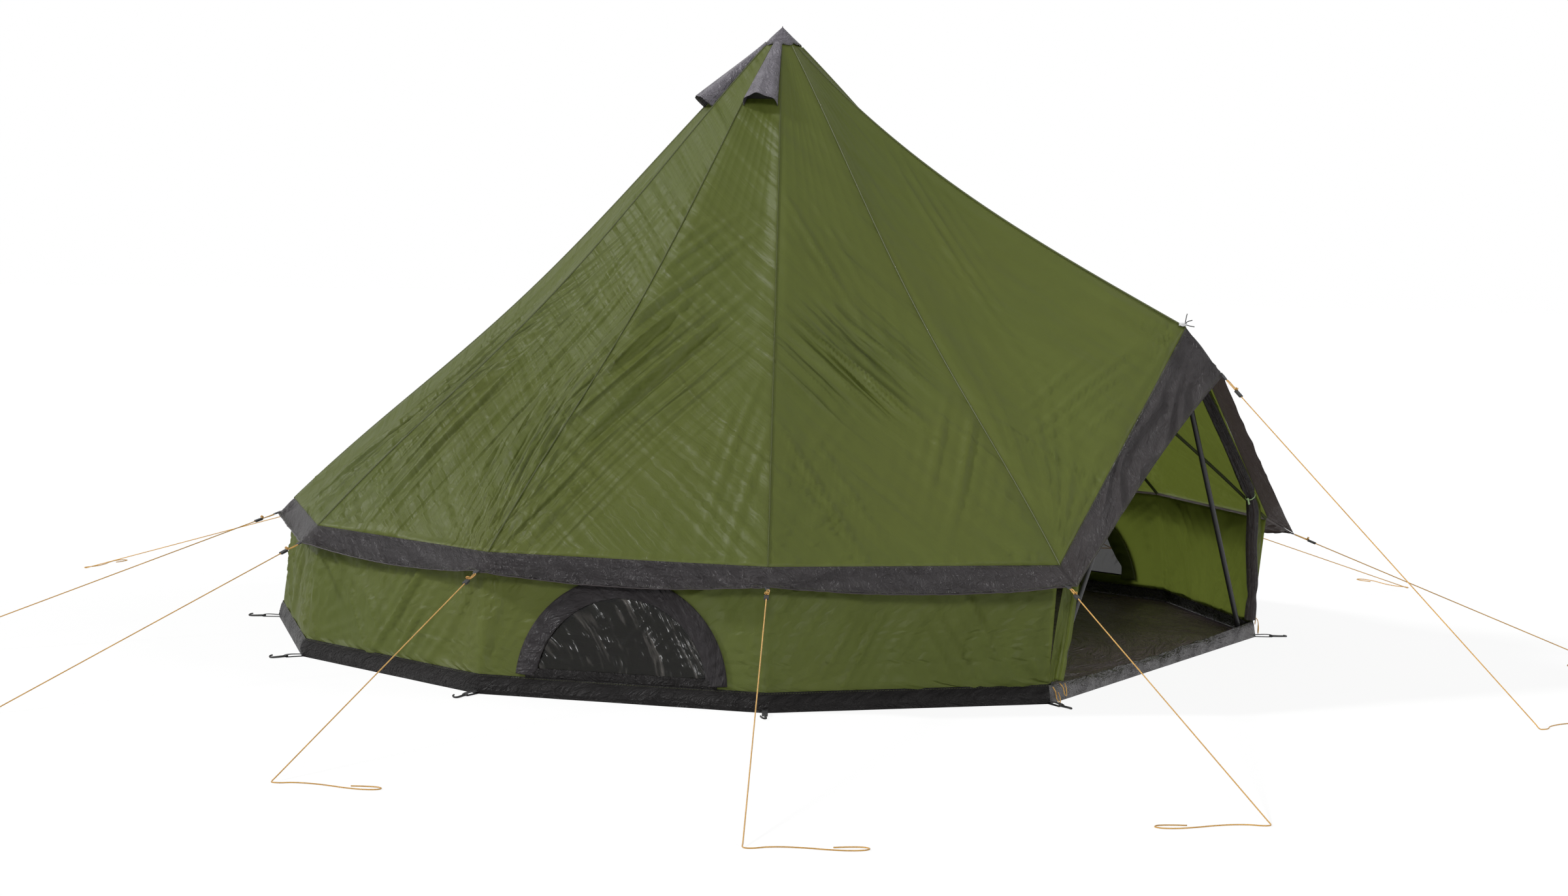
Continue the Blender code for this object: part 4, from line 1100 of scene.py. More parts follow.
def panel_folds(index, points):
    """Folds of one wall panel: pulled from its four corners, with hangs in between."""
    x = arc_length(points, 1)
    y = arc_length(points, 0)
    wide, tall = x[0, -1], y[-1, 0]
    seed = 300 + 11 * index
    draw = np.random.default_rng(seed)
    corners = ((x, y), (wide - x, y), (x, tall - y), (wide - x, tall - y))
    lift = 0.010 * waves(x * 2.4, y, seed, low=0.5, high=1.6)
    for number, (dx, dy) in enumerate(corners):
        strength = draw.uniform(0.012, 0.024)
        lift += strength * fan(dx, dy, seed + number, draw.uniform(11, 17), draw.uniform(0.22, 0.40), 0.03)
    slant = draw.choice([-1, 1]) * draw.uniform(0.5, 1.1)
    lift += slanted_folds(x, y, (wide * draw.uniform(0.3, 0.45), tall * 0.55), (0.34, 0.22), slant,
                          draw.uniform(0.06, 0.09), 0.026, seed + 7)
    lift += slanted_folds(x, y, (wide * draw.uniform(0.6, 0.75), tall * 0.45), (0.30, 0.18), -slant,
                          draw.uniform(0.05, 0.08), 0.020, seed + 9)
    for depth, rate, shift, away, reach in ((0.0060, 14, 8, tall - y, 0.14), (0.0025, 17, 4, y, 0.07)):
        gathers = crest(math.pi * (x * rate + 0.5 * waves(x, y * 0.5, seed + shift)), 1.3)
        lift += depth * gathers * np.exp(-away / reach)
    if index in (WINDOW_PANEL, 2 * shape().panels - 1 - WINDOW_PANEL):
        # the cloth lies nearly flat under a window's border
        away = np.hypot(x - wide / 2, np.maximum(y - window_centre(), 0))
        away = away - WINDOW_RADIUS - WINDOW_BORDER - 0.02
        lift = lift * (0.03 + 0.97 * np.clip(away / 0.10, 0, 1))
    return (lift - 0.003) * (held(np.minimum(x, wide - x), 0.02) * held(y, 0.02) * held(tall - y, 0.03))


WINDOW_PANEL = 1
WINDOW_RADIUS = 0.404
WINDOW_SILL = 0.040
WINDOW_HEAD = 0.136
WINDOW_BORDER = 0.072
CUT_DEPTH = 0.06
FILM_ROWS = 70
FILM_COLUMNS = 110
FILM_LAP = 0.004
BAND_STEPS = 220
BAND_ROWS = 12
STRIP_COLUMNS = 120
STRIP_ROWS = 8

# Strip below a window: half its length, its foot and its height
WINDOW_STRIP = (0.43, 0.004, 0.040)


def window_frame(side):
    """Matrix of the window's wall panel: X along it, Y up it, Z out, from the middle of its foot."""
    azimuths = corner_azimuths()
    pair = azimuths[WINDOW_PANEL], azimuths[WINDOW_PANEL + 1]
    s = shape()
    low = [plan(s.base - s.lean, azimuth, s.tub) for azimuth in pair]
    high = [plan(s.eave - WALL_TUCK, azimuth, s.eave_height - 0.009) for azimuth in pair]
    origin = (low[0] + low[1]) / 2
    along = (low[0] - low[1]).normalized()
    up = ((high[0] + high[1]) / 2 - origin).normalized()
    out = along.cross(up).normalized()
    made = Matrix.Translation(origin) @ Matrix((along, up, out)).transposed().to_4x4()
    if side == 0:
        return made
    return Matrix.Scale(-1, 4, (1, 0, 0)) @ made


def window_centre():
    """Height of the arc's centre up the panel."""
    s = shape()
    low = plan((s.base - s.lean) * math.cos(HALF_PANEL), 0.0, s.tub)
    high = plan((s.eave - WALL_TUCK) * math.cos(HALF_PANEL), 0.0, s.eave_height - 0.009)
    return (high - low).length - WINDOW_HEAD - WINDOW_RADIUS


def arc_line(radius, steps):
    """Points of an arc round the window, from its right foot to its left."""
    centre = window_centre()
    start = math.asin((WINDOW_SILL - centre) / radius)
    angles = np.linspace(start, math.pi - start, steps + 1)
    return grid_of(radius * np.cos(angles), centre + radius * np.sin(angles))


def on_panel(side, flat, depth):
    """Points of a panel's plane, and their distance off it, in the tent's frame."""
    local = np.concatenate([flat, np.broadcast_to(depth, flat.shape[:-1])[..., None]], axis=-1)
    return local_points(window_frame(side), local)


def window_cutter(side):
    """A thick half-moon that cuts the opening."""
    outline = arc_line(WINDOW_RADIUS, 48)
    bm = bmesh.new()
    back, front = [[bm.verts.new(point) for point in on_panel(side, outline, depth)]
                   for depth in (-CUT_DEPTH, CUT_DEPTH)]
    bm.faces.new(back)
    bm.faces.new(front)
    for index in range(len(outline)):
        after = (index + 1) % len(outline)
        bm.faces.new((back[index], back[after], front[after], front[index]))
    bmesh.ops.recalc_face_normals(bm, faces=bm.faces)
    return bmesh_object("window_cutter", bm)


class TENT_OT_wall(bpy.types.Operator):
    """The low wall with its window openings"""

    bl_idname = "tent.wall"
    bl_label = "Wall"

    def execute(self, context):
        azimuths = corner_azimuths()
        count = shape().panels
        for side, (name, first) in enumerate((("left", 0), ("right", count))):
            panels = []
            for index in range(first, first + count):
                points = panel_grid(azimuths[index], azimuths[index + 1])
                panels.append(puffed(points, panel_folds(index, points)))
            points = side_by_side(panels)
            wall = outward_sheet(f"wall_cloth_{name}", points, canopy_cloth(), shape().cloth)
            cutter = window_cutter(side)
            opening = wall.modifiers.new("window", "BOOLEAN")
            opening.object, opening.solver = cutter, "EXACT"
            bake_modifiers(wall)
            bpy.data.objects.remove(cutter)
            placed(wall, "canopy", f"wall_{name}")
        return {"FINISHED"}


class TENT_OT_windows(bpy.types.Operator):
    """Films, borders, inner frames and sill strips of the two windows"""

    bl_idname = "tent.windows"
    bl_label = "Windows"

    def execute(self, context):
        for side, name in enumerate(("left", "right")):
            self.film(side, name)
            self.border(side, name)
            self.inner_frame(side, name)
            self.sill(side, name)
        return {"FINISHED"}

    def film(self, side, name):
        """Film and netting in one, from the sill up to the arc."""
        top = arc_line(WINDOW_RADIUS + FILM_LAP, 200)[::-1]
        x = np.linspace(top[0, 0] + 0.0005, top[-1, 0] - 0.0005, FILM_COLUMNS + 1)
        height = np.interp(x, top[:, 0], top[:, 1])
        share = shares_down(FILM_ROWS)[..., 0]
        y = WINDOW_SILL - FILM_LAP + (height[None, :] - WINDOW_SILL + FILM_LAP) * share
        edge = np.sin(math.pi * share) ** 0.5 * (1 - np.abs(x / x[-1]) ** 8)[None, :]
        crumple = creases(x, y, 510 + side, 9, 8.0, 1.6) * 0.010 * edge
        crumple += slanted_folds(x, y, (0.05, 0.16), (0.30, 0.20), 0.9, 0.055, 0.006, 77) * edge
        points = on_panel(side, grid_of(x, y), np.clip(crumple - 0.004, -0.016, 0.008))
        film = outward_sheet(f"window_film_{name}", points, window_film(), FILM_THICK)
        placed(film, "window_mesh", f"window_mesh_{name}")

    def band(self, name, side, low, high, depth, pucker, material, seed, wave=0.0, lap=0.0):
        """A strip round the arch between two radii, puckered across."""
        centre = window_centre()
        start = math.asin((WINDOW_SILL - lap - centre) / low)
        angles = np.linspace(start, math.pi - start, BAND_STEPS + 1)[None, :]
        share = shares_down(BAND_ROWS)[..., 0]
        run = angles * low
        inner = low + wave * np.maximum(crest(run * 17.0 + seed, 0.9) + 0.1, 0)
        radius = inner + (high - inner) * share
        across = (radius - low) * np.ones_like(angles)
        y = np.maximum(centre + radius * np.sin(angles), WINDOW_SILL - 0.045)
        puff = pucker * np.sin(math.pi * share) * (0.9 + 0.5 * waves(run * 1.5, across * 4, seed))
        ribs = crest(run * 55 + 2.0 * waves(run, across * 3, seed + 1), 1.2)
        puff = puff + pucker * 0.5 * ribs * np.sin(math.pi * share) ** 0.5
        points = on_panel(side, grid_of(radius * np.cos(angles), y), depth + puff)
        return outward_sheet(name, points, material, BORDER_THICK), points

    def border(self, side, name):
        border, points = self.band(
            f"window_border_{name}_cloth", side, WINDOW_RADIUS - 0.022, WINDOW_RADIUS + WINDOW_BORDER,
            0.0035, 0.007, trim_cloth(), 620 + side, lap=0.03)
        placed(border, "trim", f"window_border_{name}")
        stitch_along(f"window_border_{name}_stitching", [points[2], points[-3]], ROOF_STITCH)

    def inner_frame(self, side, name):
        """Dark facing inside the wall, its inner edge gathered in waves where the cover is rolled."""
        facing, points = self.band(
            f"window_facing_{name}", side, WINDOW_RADIUS - 0.035, WINDOW_RADIUS + 0.062,
            -0.016, -0.006, seam_tape(), 660 + side, wave=0.022, lap=0.02)
        placed(facing, "canopy")

    def sill(self, side, name):
        """Strip of dark cloth below the film, over the upstand's edge."""
        half, foot, tall = WINDOW_STRIP
        x = np.linspace(-half, half, STRIP_COLUMNS + 1)[None, :]
        share = shares_down(STRIP_ROWS)[..., 0]
        y = foot + tall * share * np.ones_like(x)
        ribs = crest(x * 60 + 2 * waves(x * 2, y, 70 + side), 1.2)
        puff = 0.003 + 0.003 * np.sin(math.pi * share) + 0.0015 * ribs
        points = on_panel(side, grid_of(x, y), puff)
        placed(outward_sheet(f"window_sill_{name}", points, edging_cloth(), BORDER_THICK), "canopy")


# Valance and door hood

SKIRT_COLUMNS = 56
SKIRT_ROWS = 14


def skirt_grid(first, second, index):
    """One panel's valance from the eave seam to its hanging hem."""
    s = shape()
    share, down = shares_across(SKIRT_COLUMNS), shares_down(SKIRT_ROWS)
    seam = mix_points(eave_corner(first), eave_corner(second), share)
    tip = mix_points(skirt_tip(first), skirt_tip(second), share)
    bow = 4 * share * (1 - share)
    inward = unit(tip * np.array([1.0, 1.0, 0.0]))
    low = tip - inward * s.skirt_tuck * bow - rise(s.skirt_sag) * bow
    points = mix_points(seam, low, down)
    x, down = arc_length(points, 1), down[..., 0]
    back = x[0, -1] - x
    y = down * 0.11 * np.ones_like(x)
    up, seed = 0.112 - y, 820 + 13 * index
    lift = 0.016 * fan(x, up, seed, 9.0, 0.20, 0.02) + 0.016 * fan(back, up, seed + 1, 9.0, 0.20, 0.02)
    lift += 0.0035 * waves(x * 3, y * 4, seed + 2, low=0.4, high=1.5) * down
    lift += 0.0045 * crest(math.pi * (x * 8 + 0.5 * waves(x * 2, y * 3, seed + 3)), 1.3) * down
    lift += 0.003 * creases(x, y, seed + 5, 4, 9.0) * down ** 0.5
    return puffed(points, lift * (held(np.minimum(x, back), 0.015) * np.minimum(down * 6, 1)))


class TENT_OT_valance(bpy.types.Operator):
    """The grey skirt round the eave, with its hem"""

    bl_idname = "tent.valance"
    bl_label = "Valance"

    def execute(self, context):
        azimuths = corner_azimuths()
        points = side_by_side([skirt_grid(first, second, index)
                               for index, (first, second) in enumerate(zip(azimuths, azimuths[1:]))])
        skirt = outward_sheet("valance_cloth", points + rise(0.0012), trim_cloth(), TRIM_THICK)
        placed(skirt, "trim", "eave_valance")
        tape_along("valance_hem", [points[-1] + rise(0.003)], 0.0036, 0.012, trim_cloth(), "trim")
        stitch_along("valance_stitching", [points[row] + rise(0.003) for row in (-2, 1)], EDGE_STITCH)
        return {"FINISHED"}


HOOD_COLUMNS = 110
HOOD_ROWS = 26

# Halves of the hood, left and right: seed of its folds and how far they stand out
HOOD_HALVES = ((905, 0.012), (935, 0.005))

# Ends of the peak's strap: how far each runs aside, up and out
STRAP_ENDS = ((0.010, 0.050, -0.006), (-0.012, 0.022, -0.045), (0.016, -0.010, -0.040))


def hood_grid():
    """The door hood from the roof's edge to its free edge, left corner over the peak to the right."""
    corner = corner_azimuths()[0]
    share, down = shares_across(HOOD_COLUMNS), shares_down(HOOD_ROWS)
    edge = mix_points(eave_corner(corner), door_peak(), share)
    free = mix_points(skirt_tip(corner), hood_tip(), share)
    free = free + (edge - free) * 0.13 * np.sin(math.pi * share)
    points = mix_points(edge, free, down)
    x, y = arc_length(points, 1), arc_length(points, 0)
    back, up = x[:1, -1:] - x, y[-1:, :] - y
    hold = np.minimum(down[..., 0] * 5, 1) * held(np.minimum(x, back), 0.02)
    halves = []
    for seed, crumple in HOOD_HALVES:
        lift = crumple * creases(x, y, seed, 7, 4.0, 1.2)
        fans = 0.007 * fan(back, up, seed + 6, 10.0, 0.35, 0.03)
        lift += fans + 0.006 * fan(x, up, seed + 8, 9.0, 0.22, 0.02)
        lift += 0.008 * waves(x * 1.3, y * 1.5, seed + 12, low=0.3, high=1.1)
        pleats = crest(math.pi * (y * 9 + 1.5 * x + 0.5 * waves(x, y * 2, seed + 14)), 1.2)
        lift += crumple * pleats * hump(x, 0.75, 0.55)
        halves.append(puffed(points, lift * hold))
    return side_by_side([halves[0], halves[1][:, ::-1] * np.array([-1.0, 1.0, 1.0])])


class TENT_OT_hood(bpy.types.Operator):
    """The grey hood over the door, with its hem and the tie at its peak"""

    bl_idname = "tent.hood"
    bl_label = "Door hood"

    def execute(self, context):
        points = hood_grid() + np.array([0.0, -0.0006, 0.0012])
        hood = outward_sheet("door_hood_cloth", points, trim_cloth(), TRIM_THICK)
        placed(hood, "trim", "door_hood")
        stitch_along("door_hood_stitching", [points[-2] + rise(0.002), points[1] + rise(0.003)], EDGE_STITCH)
        self.peak_tie()
        return {"FINISHED"}

    def peak_tie(self):
        """White tape that holds the peak, with the black ends of its strap."""
        peak = np.array(door_peak()) + np.array([0.0, 0.010, 0.008])
        turns = np.linspace(0, 4 * math.pi, 60)
        wrap = grid_of(0.016 * np.cos(turns), 0.014 * np.sin(turns) + 0.004,
                       0.002 + 0.012 * turns / turns[-1] + 0.002 * np.sin(3 * turns)) + peak
        placed(tube_object("peak_tie", wrap, 0.0045, white_tape()), "trim")
        ends = []
        for side, up, reach in STRAP_ENDS:
            start = peak + np.array([side * 0.5, -0.004, 0.008])
            bend = start + np.array([side * 0.6, reach * 0.4, up * 0.6])
            path = smooth_path([start, bend, start + np.array([side, reach, up])], 0.004)
            ends.append(tube_points(path, 0.0022, 8))
        straps = joined_object("peak_strap_ends", woven_tape(), *ends, closed=True)
        spread_normals(straps)
        placed(straps, "webbing")


# Cap and vents

CAP_COLUMNS = 144
CAP_ROWS = 26
CAP_REACH = 0.092


class TENT_OT_cap(bpy.types.Operator):
    """The grey cap over the pole's top"""

    bl_idname = "tent.cap"
    bl_label = "Apex cap"

    def execute(self, context):
        s = shape()
        down = shares_down(CAP_ROWS)[..., 0]
        turn = np.linspace(0, 2 * math.pi, CAP_COLUMNS, endpoint=False)[None, :]
        reach = CAP_REACH + 0.004 * np.sin(5 * turn + 1.0) + 0.003 * np.sin(11 * turn)
        radius = 0.004 + (reach - 0.004) * down ** 0.85
        seam = seam_curve(corner_azimuths()[0], np.linspace(0, 0.2, 80))
        distance = np.hypot(seam[:, 0], seam[:, 1])
        under = np.interp(radius.reshape(-1), distance, seam[:, 2]).reshape(radius.shape)
        inner = s.crown - (s.crown - seam[0, 2]) * radius / s.ring
        height = np.where(radius < s.ring, inner, under) + 0.0055
        folds = 0.0035 * crest(6 * turn + 0.6 * np.sin(2 * turn + 3 * down), 1.2) * down ** 1.2
        folds = folds + 0.0015 * np.sin(17 * turn + 8 * down) * down
        top = CAP_BOX[1].z - 0.0004
        height = np.minimum(height + folds + 0.003 * down * (1 - down), top)
        points = grid_of(radius * np.cos(turn), radius * np.sin(turn), height)
        tip = np.tile(rise(top), (1, CAP_COLUMNS, 1))
        cap = sheet_object("apex_cap_cloth", np.concatenate([tip, points]), cap_cloth(), closed=True)
        spread_normals(cap)
        thicken(cap, CAP_THICK)
        placed(cap, "trim", "apex_cap")
        hem = np.concatenate([points[-2], points[-2][:1]]) + rise(0.002)
        stitch_along("apex_cap_stitching", [hem], CAP_STITCH)
        return {"FINISHED"}


VENT_AZIMUTHS = (135.0, 195.0, 345.0, 45.0)
VENT_TOP = 0.080
VENT_MOUTH = 0.385
VENT_WIDTHS = (0.020, 0.085)
VENT_RISES = (0.010, 0.086)
VENT_ROWS = 36
VENT_COLUMNS = 44
NET_ROWS = 14


def gore_middle(azimuth, radius):
    """Middle of a gore, the way across it and its outward normal, at a distance down its seams."""
    s = shape()
    step = (math.pi - s.door / 2) / s.panels
    share = (radius - s.ring) / (s.eave - s.ring)
    ends = [seam_curve(azimuth + turn * step / 2, np.array([share, share + 0.002])) for turn in (-1, 1)]
    foot = (ends[0][0] + ends[1][0]) / 2
    across = unit(ends[1][0] - ends[0][0])
    normal = unit(np.cross((ends[0][1] + ends[1][1]) / 2 - foot, across))
    return foot, across, normal if normal[2] > 0 else -normal


class TENT_OT_vents(bpy.types.Operator):
    """Four arched vent hoods below the cap, with dark netting in their mouths"""

    bl_idname = "tent.vents"
    bl_label = "Vent hoods"

    def execute(self, context):
        for index, azimuth in enumerate(VENT_AZIMUTHS):
            self.vent(index, math.radians(azimuth))
        return {"FINISHED"}

    def vent(self, index, azimuth):
        seed = 1010 + 9 * index
        angles = np.linspace(0, math.pi, VENT_COLUMNS + 1)
        grid = []
        for share in np.arange(VENT_ROWS + 1) / VENT_ROWS:
            foot, across, normal = gore_middle(azimuth, VENT_TOP + (VENT_MOUTH - VENT_TOP) * share)
            half = VENT_WIDTHS[0] + (VENT_WIDTHS[1] - VENT_WIDTHS[0]) * share
            arch = VENT_RISES[0] + (VENT_RISES[1] - VENT_RISES[0]) * share ** 1.25
            fold = 1 + share * (0.07 * np.sin(4 * angles + seed) + 0.05 * np.sin(7 * angles + 3 * share))
            sides = 1 + 0.10 * share * np.sin(2 * angles) ** 2
            grid.append(foot + normal * 0.002 + np.outer(half * np.cos(angles) * sides, across)
                        + np.outer(arch * np.abs(np.sin(angles)) ** 0.85 * fold, normal))
        points = np.array(grid)
        hood = outward_sheet(f"vent_hood_{index}_cloth", points, cap_cloth(), TRIM_THICK)
        placed(hood, "trim", f"vent_hood_{index}")
        stitch_along(f"vent_hood_{index}_stitching", [points[-2]], VENT_STITCH)
        mouth = points[int(VENT_ROWS * 0.90)]
        base = mix_points(mouth[0], mouth[-1], np.linspace(0, 1, VENT_COLUMNS + 1)[:, None])
        net = mix_points(base[None], mouth[None], shares_down(NET_ROWS) * 0.97)
        placed(outward_sheet(f"vent_net_{index}", net, vent_net(), NET_THICK), "window_mesh")


# Groundsheet

FLOOR_RINGS = 84
FLOOR_STEPS = 26
FLOOR_INSET = 0.006
FLOOR_LIFT = 0.0045
UPSTAND_COLUMNS = 64
UPSTAND_ROWS = 14
SILL_COLUMNS = 160
SILL_ROWS = 20
SILL_SLUMP = (0.0, 0.030, -0.030)


def tub_edges(first, second, columns, lean, top):
    """The foot and the upper edge of the upstand between two corners."""
    share = shares_across(columns)
    return [mix_points(plan(base_radius(first) - inset, first, height),
                       plan(base_radius(second) - inset, second, height), share)
            for inset, height in ((0.0, 0.0), (lean, top))]


class TENT_OT_groundsheet(bpy.types.Operator):
    """The dark floor, its grey upstand and the crumpled sill across the door"""

    bl_idname = "tent.groundsheet"
    bl_label = "Groundsheet"

    def execute(self, context):
        self.floor()
        self.upstand()
        self.sill()
        return {"FINISHED"}

    def floor(self):
        """Rings from the middle to the corners, creased and lying on the ground."""
        corners = [plan(base_radius(azimuth) - FLOOR_INSET, azimuth, 0.0) for azimuth in corner_azimuths()]
        outline = []
        for first, second in zip(corners, corners[1:] + corners[:1]):
            count = FLOOR_STEPS * 2 if second is corners[0] else FLOOR_STEPS
            outline.append(mix_points(first, second, np.linspace(0, 1, count, endpoint=False)[:, None]))
        share = np.linspace(0.0015, 1, FLOOR_RINGS + 1)[:, None, None]
        points = np.concatenate(outline)[None] * share
        x, y = points[..., 0], points[..., 1]
        lift = 0.007 * creases(x, y, 1210, 8, 2.4, 1.6) + 0.004 * creases(x, y, 1230, 7, 5.5, 1.8)
        lift += 0.004 * waves(x, y, 1240, low=0.3, high=1.2)
        front = 0.010 * creases(x, y, 1250, 6, 7.0, 1.4) * hump(y, -2.05, 0.20) * hump(x, 0.2, 1.0)
        rim = np.minimum((1 - share[..., 0]) * 40, 1)
        points[..., 2] = FLOOR_LIFT + np.clip(lift + front + 0.006, 0, 0.03) * rim
        made = sheet_object("floor_cloth", points[:, ::-1], floor_sheet(), closed=True)
        spread_normals(made)
        if sum(polygon.normal.z for polygon in made.data.polygons) < 0:
            made.data.flip_normals()
        thicken(made, BORDER_THICK)
        placed(made, "groundsheet", "groundsheet")

    def upstand(self):
        """Mud wall round the ten panels, pleated at its corners."""
        s = shape()
        azimuths = corner_azimuths()
        up = shares_down(UPSTAND_ROWS)
        panels = []
        for index, (first, second) in enumerate(zip(azimuths, azimuths[1:])):
            low, high = tub_edges(first, second, UPSTAND_COLUMNS, s.lean - 0.003, s.tub + 0.004)
            points = mix_points(low, high, up)
            x, y = arc_length(points, 1), arc_length(points, 0)
            back, seed = x[0, -1] - x, 1310 + 5 * index
            fans = 0.005 * fan(x, y, seed, 8.0, 0.13, 0.015)
            lift = fans + 0.005 * fan(back, y, seed + 1, 8.0, 0.13, 0.015)
            lift += 0.0035 * creases(x, y, seed + 2, 6, 6.0, 1.5) + 0.003 * waves(x * 2, y * 3, seed + 3)
            belly = 0.008 * np.sin(math.pi * up[..., 0])
            hold = np.minimum(up[..., 0] * 5, 1) * np.minimum((1 - up[..., 0]) * 6, 1)
            panels.append(puffed(points, (lift + belly) * (hold * held(np.minimum(x, back), 0.012))))
        points = side_by_side(panels)
        mud = outward_sheet("upstand_cloth", points, edging_cloth(), TRIM_THICK)
        placed(mud, "trim", "groundsheet")
        stitch_along("upstand_stitching", [points[-2] * np.array([1.0005, 1.0005, 1.0])], EDGE_STITCH)

    def sill(self):
        """The door's sill: slack cloth that slumps between the two corners."""
        s = shape()
        azimuths = corner_azimuths()
        low, high = tub_edges(azimuths[0], azimuths[-1], SILL_COLUMNS, s.lean, s.tub)
        high = high + np.array(SILL_SLUMP) * np.sin(math.pi * shares_across(SILL_COLUMNS)) ** 0.6
        up = shares_down(SILL_ROWS)
        points = mix_points(low, high, up)
        x, y = arc_length(points, 1), arc_length(points, 0)
        lift = (0.008 * creases(x, y, 1410, 8, 9.0, 1.3) + 0.006 * waves(x * 3, y * 5, 1420)
                + 0.010 * np.sin(math.pi * up[..., 0]))
        hold = np.minimum(up[..., 0] * 4, 1) * np.minimum(np.minimum(x, x[0, -1] - x) * 20, 1)
        points = puffed(points, lift * hold)
        points[..., 2] = np.maximum(points[..., 2], 0.0)
        sill = outward_sheet("door_sill_cloth", points, sill_cloth(), TRIM_THICK)
        placed(sill, "trim", "groundsheet")


# Door flaps and ties

# Route of a flap: share of the way from peak to corner, drop, inward; then share up the wall, inset, front
FLAP_UPPER = ((0.103, 0.068, 0.025), (0.371, 0.067, 0.009), (0.659, 0.070, 0.002), (0.815, 0.095, 0.004))
FLAP_LOWER = ((0.739, 0.136, -0.012), (0.341, 0.074, 0.002), (0.028, 0.062, 0.010))
FLAP_TIE = 0.619
FLAP_RADIUS = 0.031
FLAP_TIE_RADIUS = 0.0245
FLAP_FOLDS = 6
FLAP_DEPTH = 0.30
FLAP_EDGE = (-0.024, -0.012, 0.0)

# Flaps: side, sense of x, how far the lower part stands open, cloth that shows on the roll
FLAPS = (("right", 1.0, 0.0, trim_cloth), ("left", -1.0, 0.055, canopy_cloth))


def door_foot():
    """Foot of the wall at the right of the door."""
    s = shape()
    azimuth = corner_azimuths()[-1]
    return plan(base_radius(azimuth) - s.lean, azimuth, s.tub)


def flap_path(spread):
    """Centreline of the right flap, peak to sill; spread is how far its lower part stands open."""
    corner, foot = eave_corner(corner_azimuths()[-1]), door_foot()
    route = [door_peak().lerp(corner, share) + Vector((0.0, inward, -drop))
             for share, drop, inward in FLAP_UPPER]
    for share, inset, front in FLAP_LOWER:
        aside = inset + spread * 4 * share * (1 - share)
        route.append(foot.lerp(corner, share) - Vector((aside, front, 0.0)))
    return smooth_path([list(point) for point in route], 0.010)


def frames_along(path):
    """Unit vectors along a path, to its side and out of it."""
    along = unit(np.gradient(path, axis=0))
    side = unit(np.cross(along, [0.0, 1.0, 0.0]))
    return along, side, np.cross(side, along)


def flap_bundle(path):
    """Rolled and tied cloth round the flap's path, as rings of points."""
    share = np.linspace(0, 1, len(path))
    _, side, out = frames_along(path)
    swell = np.sin(np.pi * np.minimum(share * 1.15, 1.0) * 0.62) ** 0.7
    tie = 1 - 0.40 * hump(share, FLAP_TIE, 0.020) - 0.25 * hump(share, 0.93, 0.02)
    radius = FLAP_RADIUS * (0.55 + 0.45 * swell) * tie
    turns = np.linspace(0, 2 * math.pi, 96, endpoint=False)
    drift = 1.4 * np.sin(share * 5)[:, None] + 2.5 * share[:, None]
    fold = crest((FLAP_FOLDS * turns[None, :] + drift) / 2, 0.8) + 0.28
    small = crest((FLAP_FOLDS * 2 * turns[None, :] - drift * 2 + 1) / 2, 1.0) * 0.15
    gathers = 0.10 * crest(share * 60, 1.1)[:, None] * hump(share, FLAP_TIE, 0.06)[:, None]
    reach = radius[:, None] * (1 - FLAP_DEPTH * (1 - fold) + small + gathers)
    return (path[:, None] + side[:, None] * (reach * np.cos(turns))[..., None]
            + out[:, None] * (reach * np.sin(turns))[..., None])


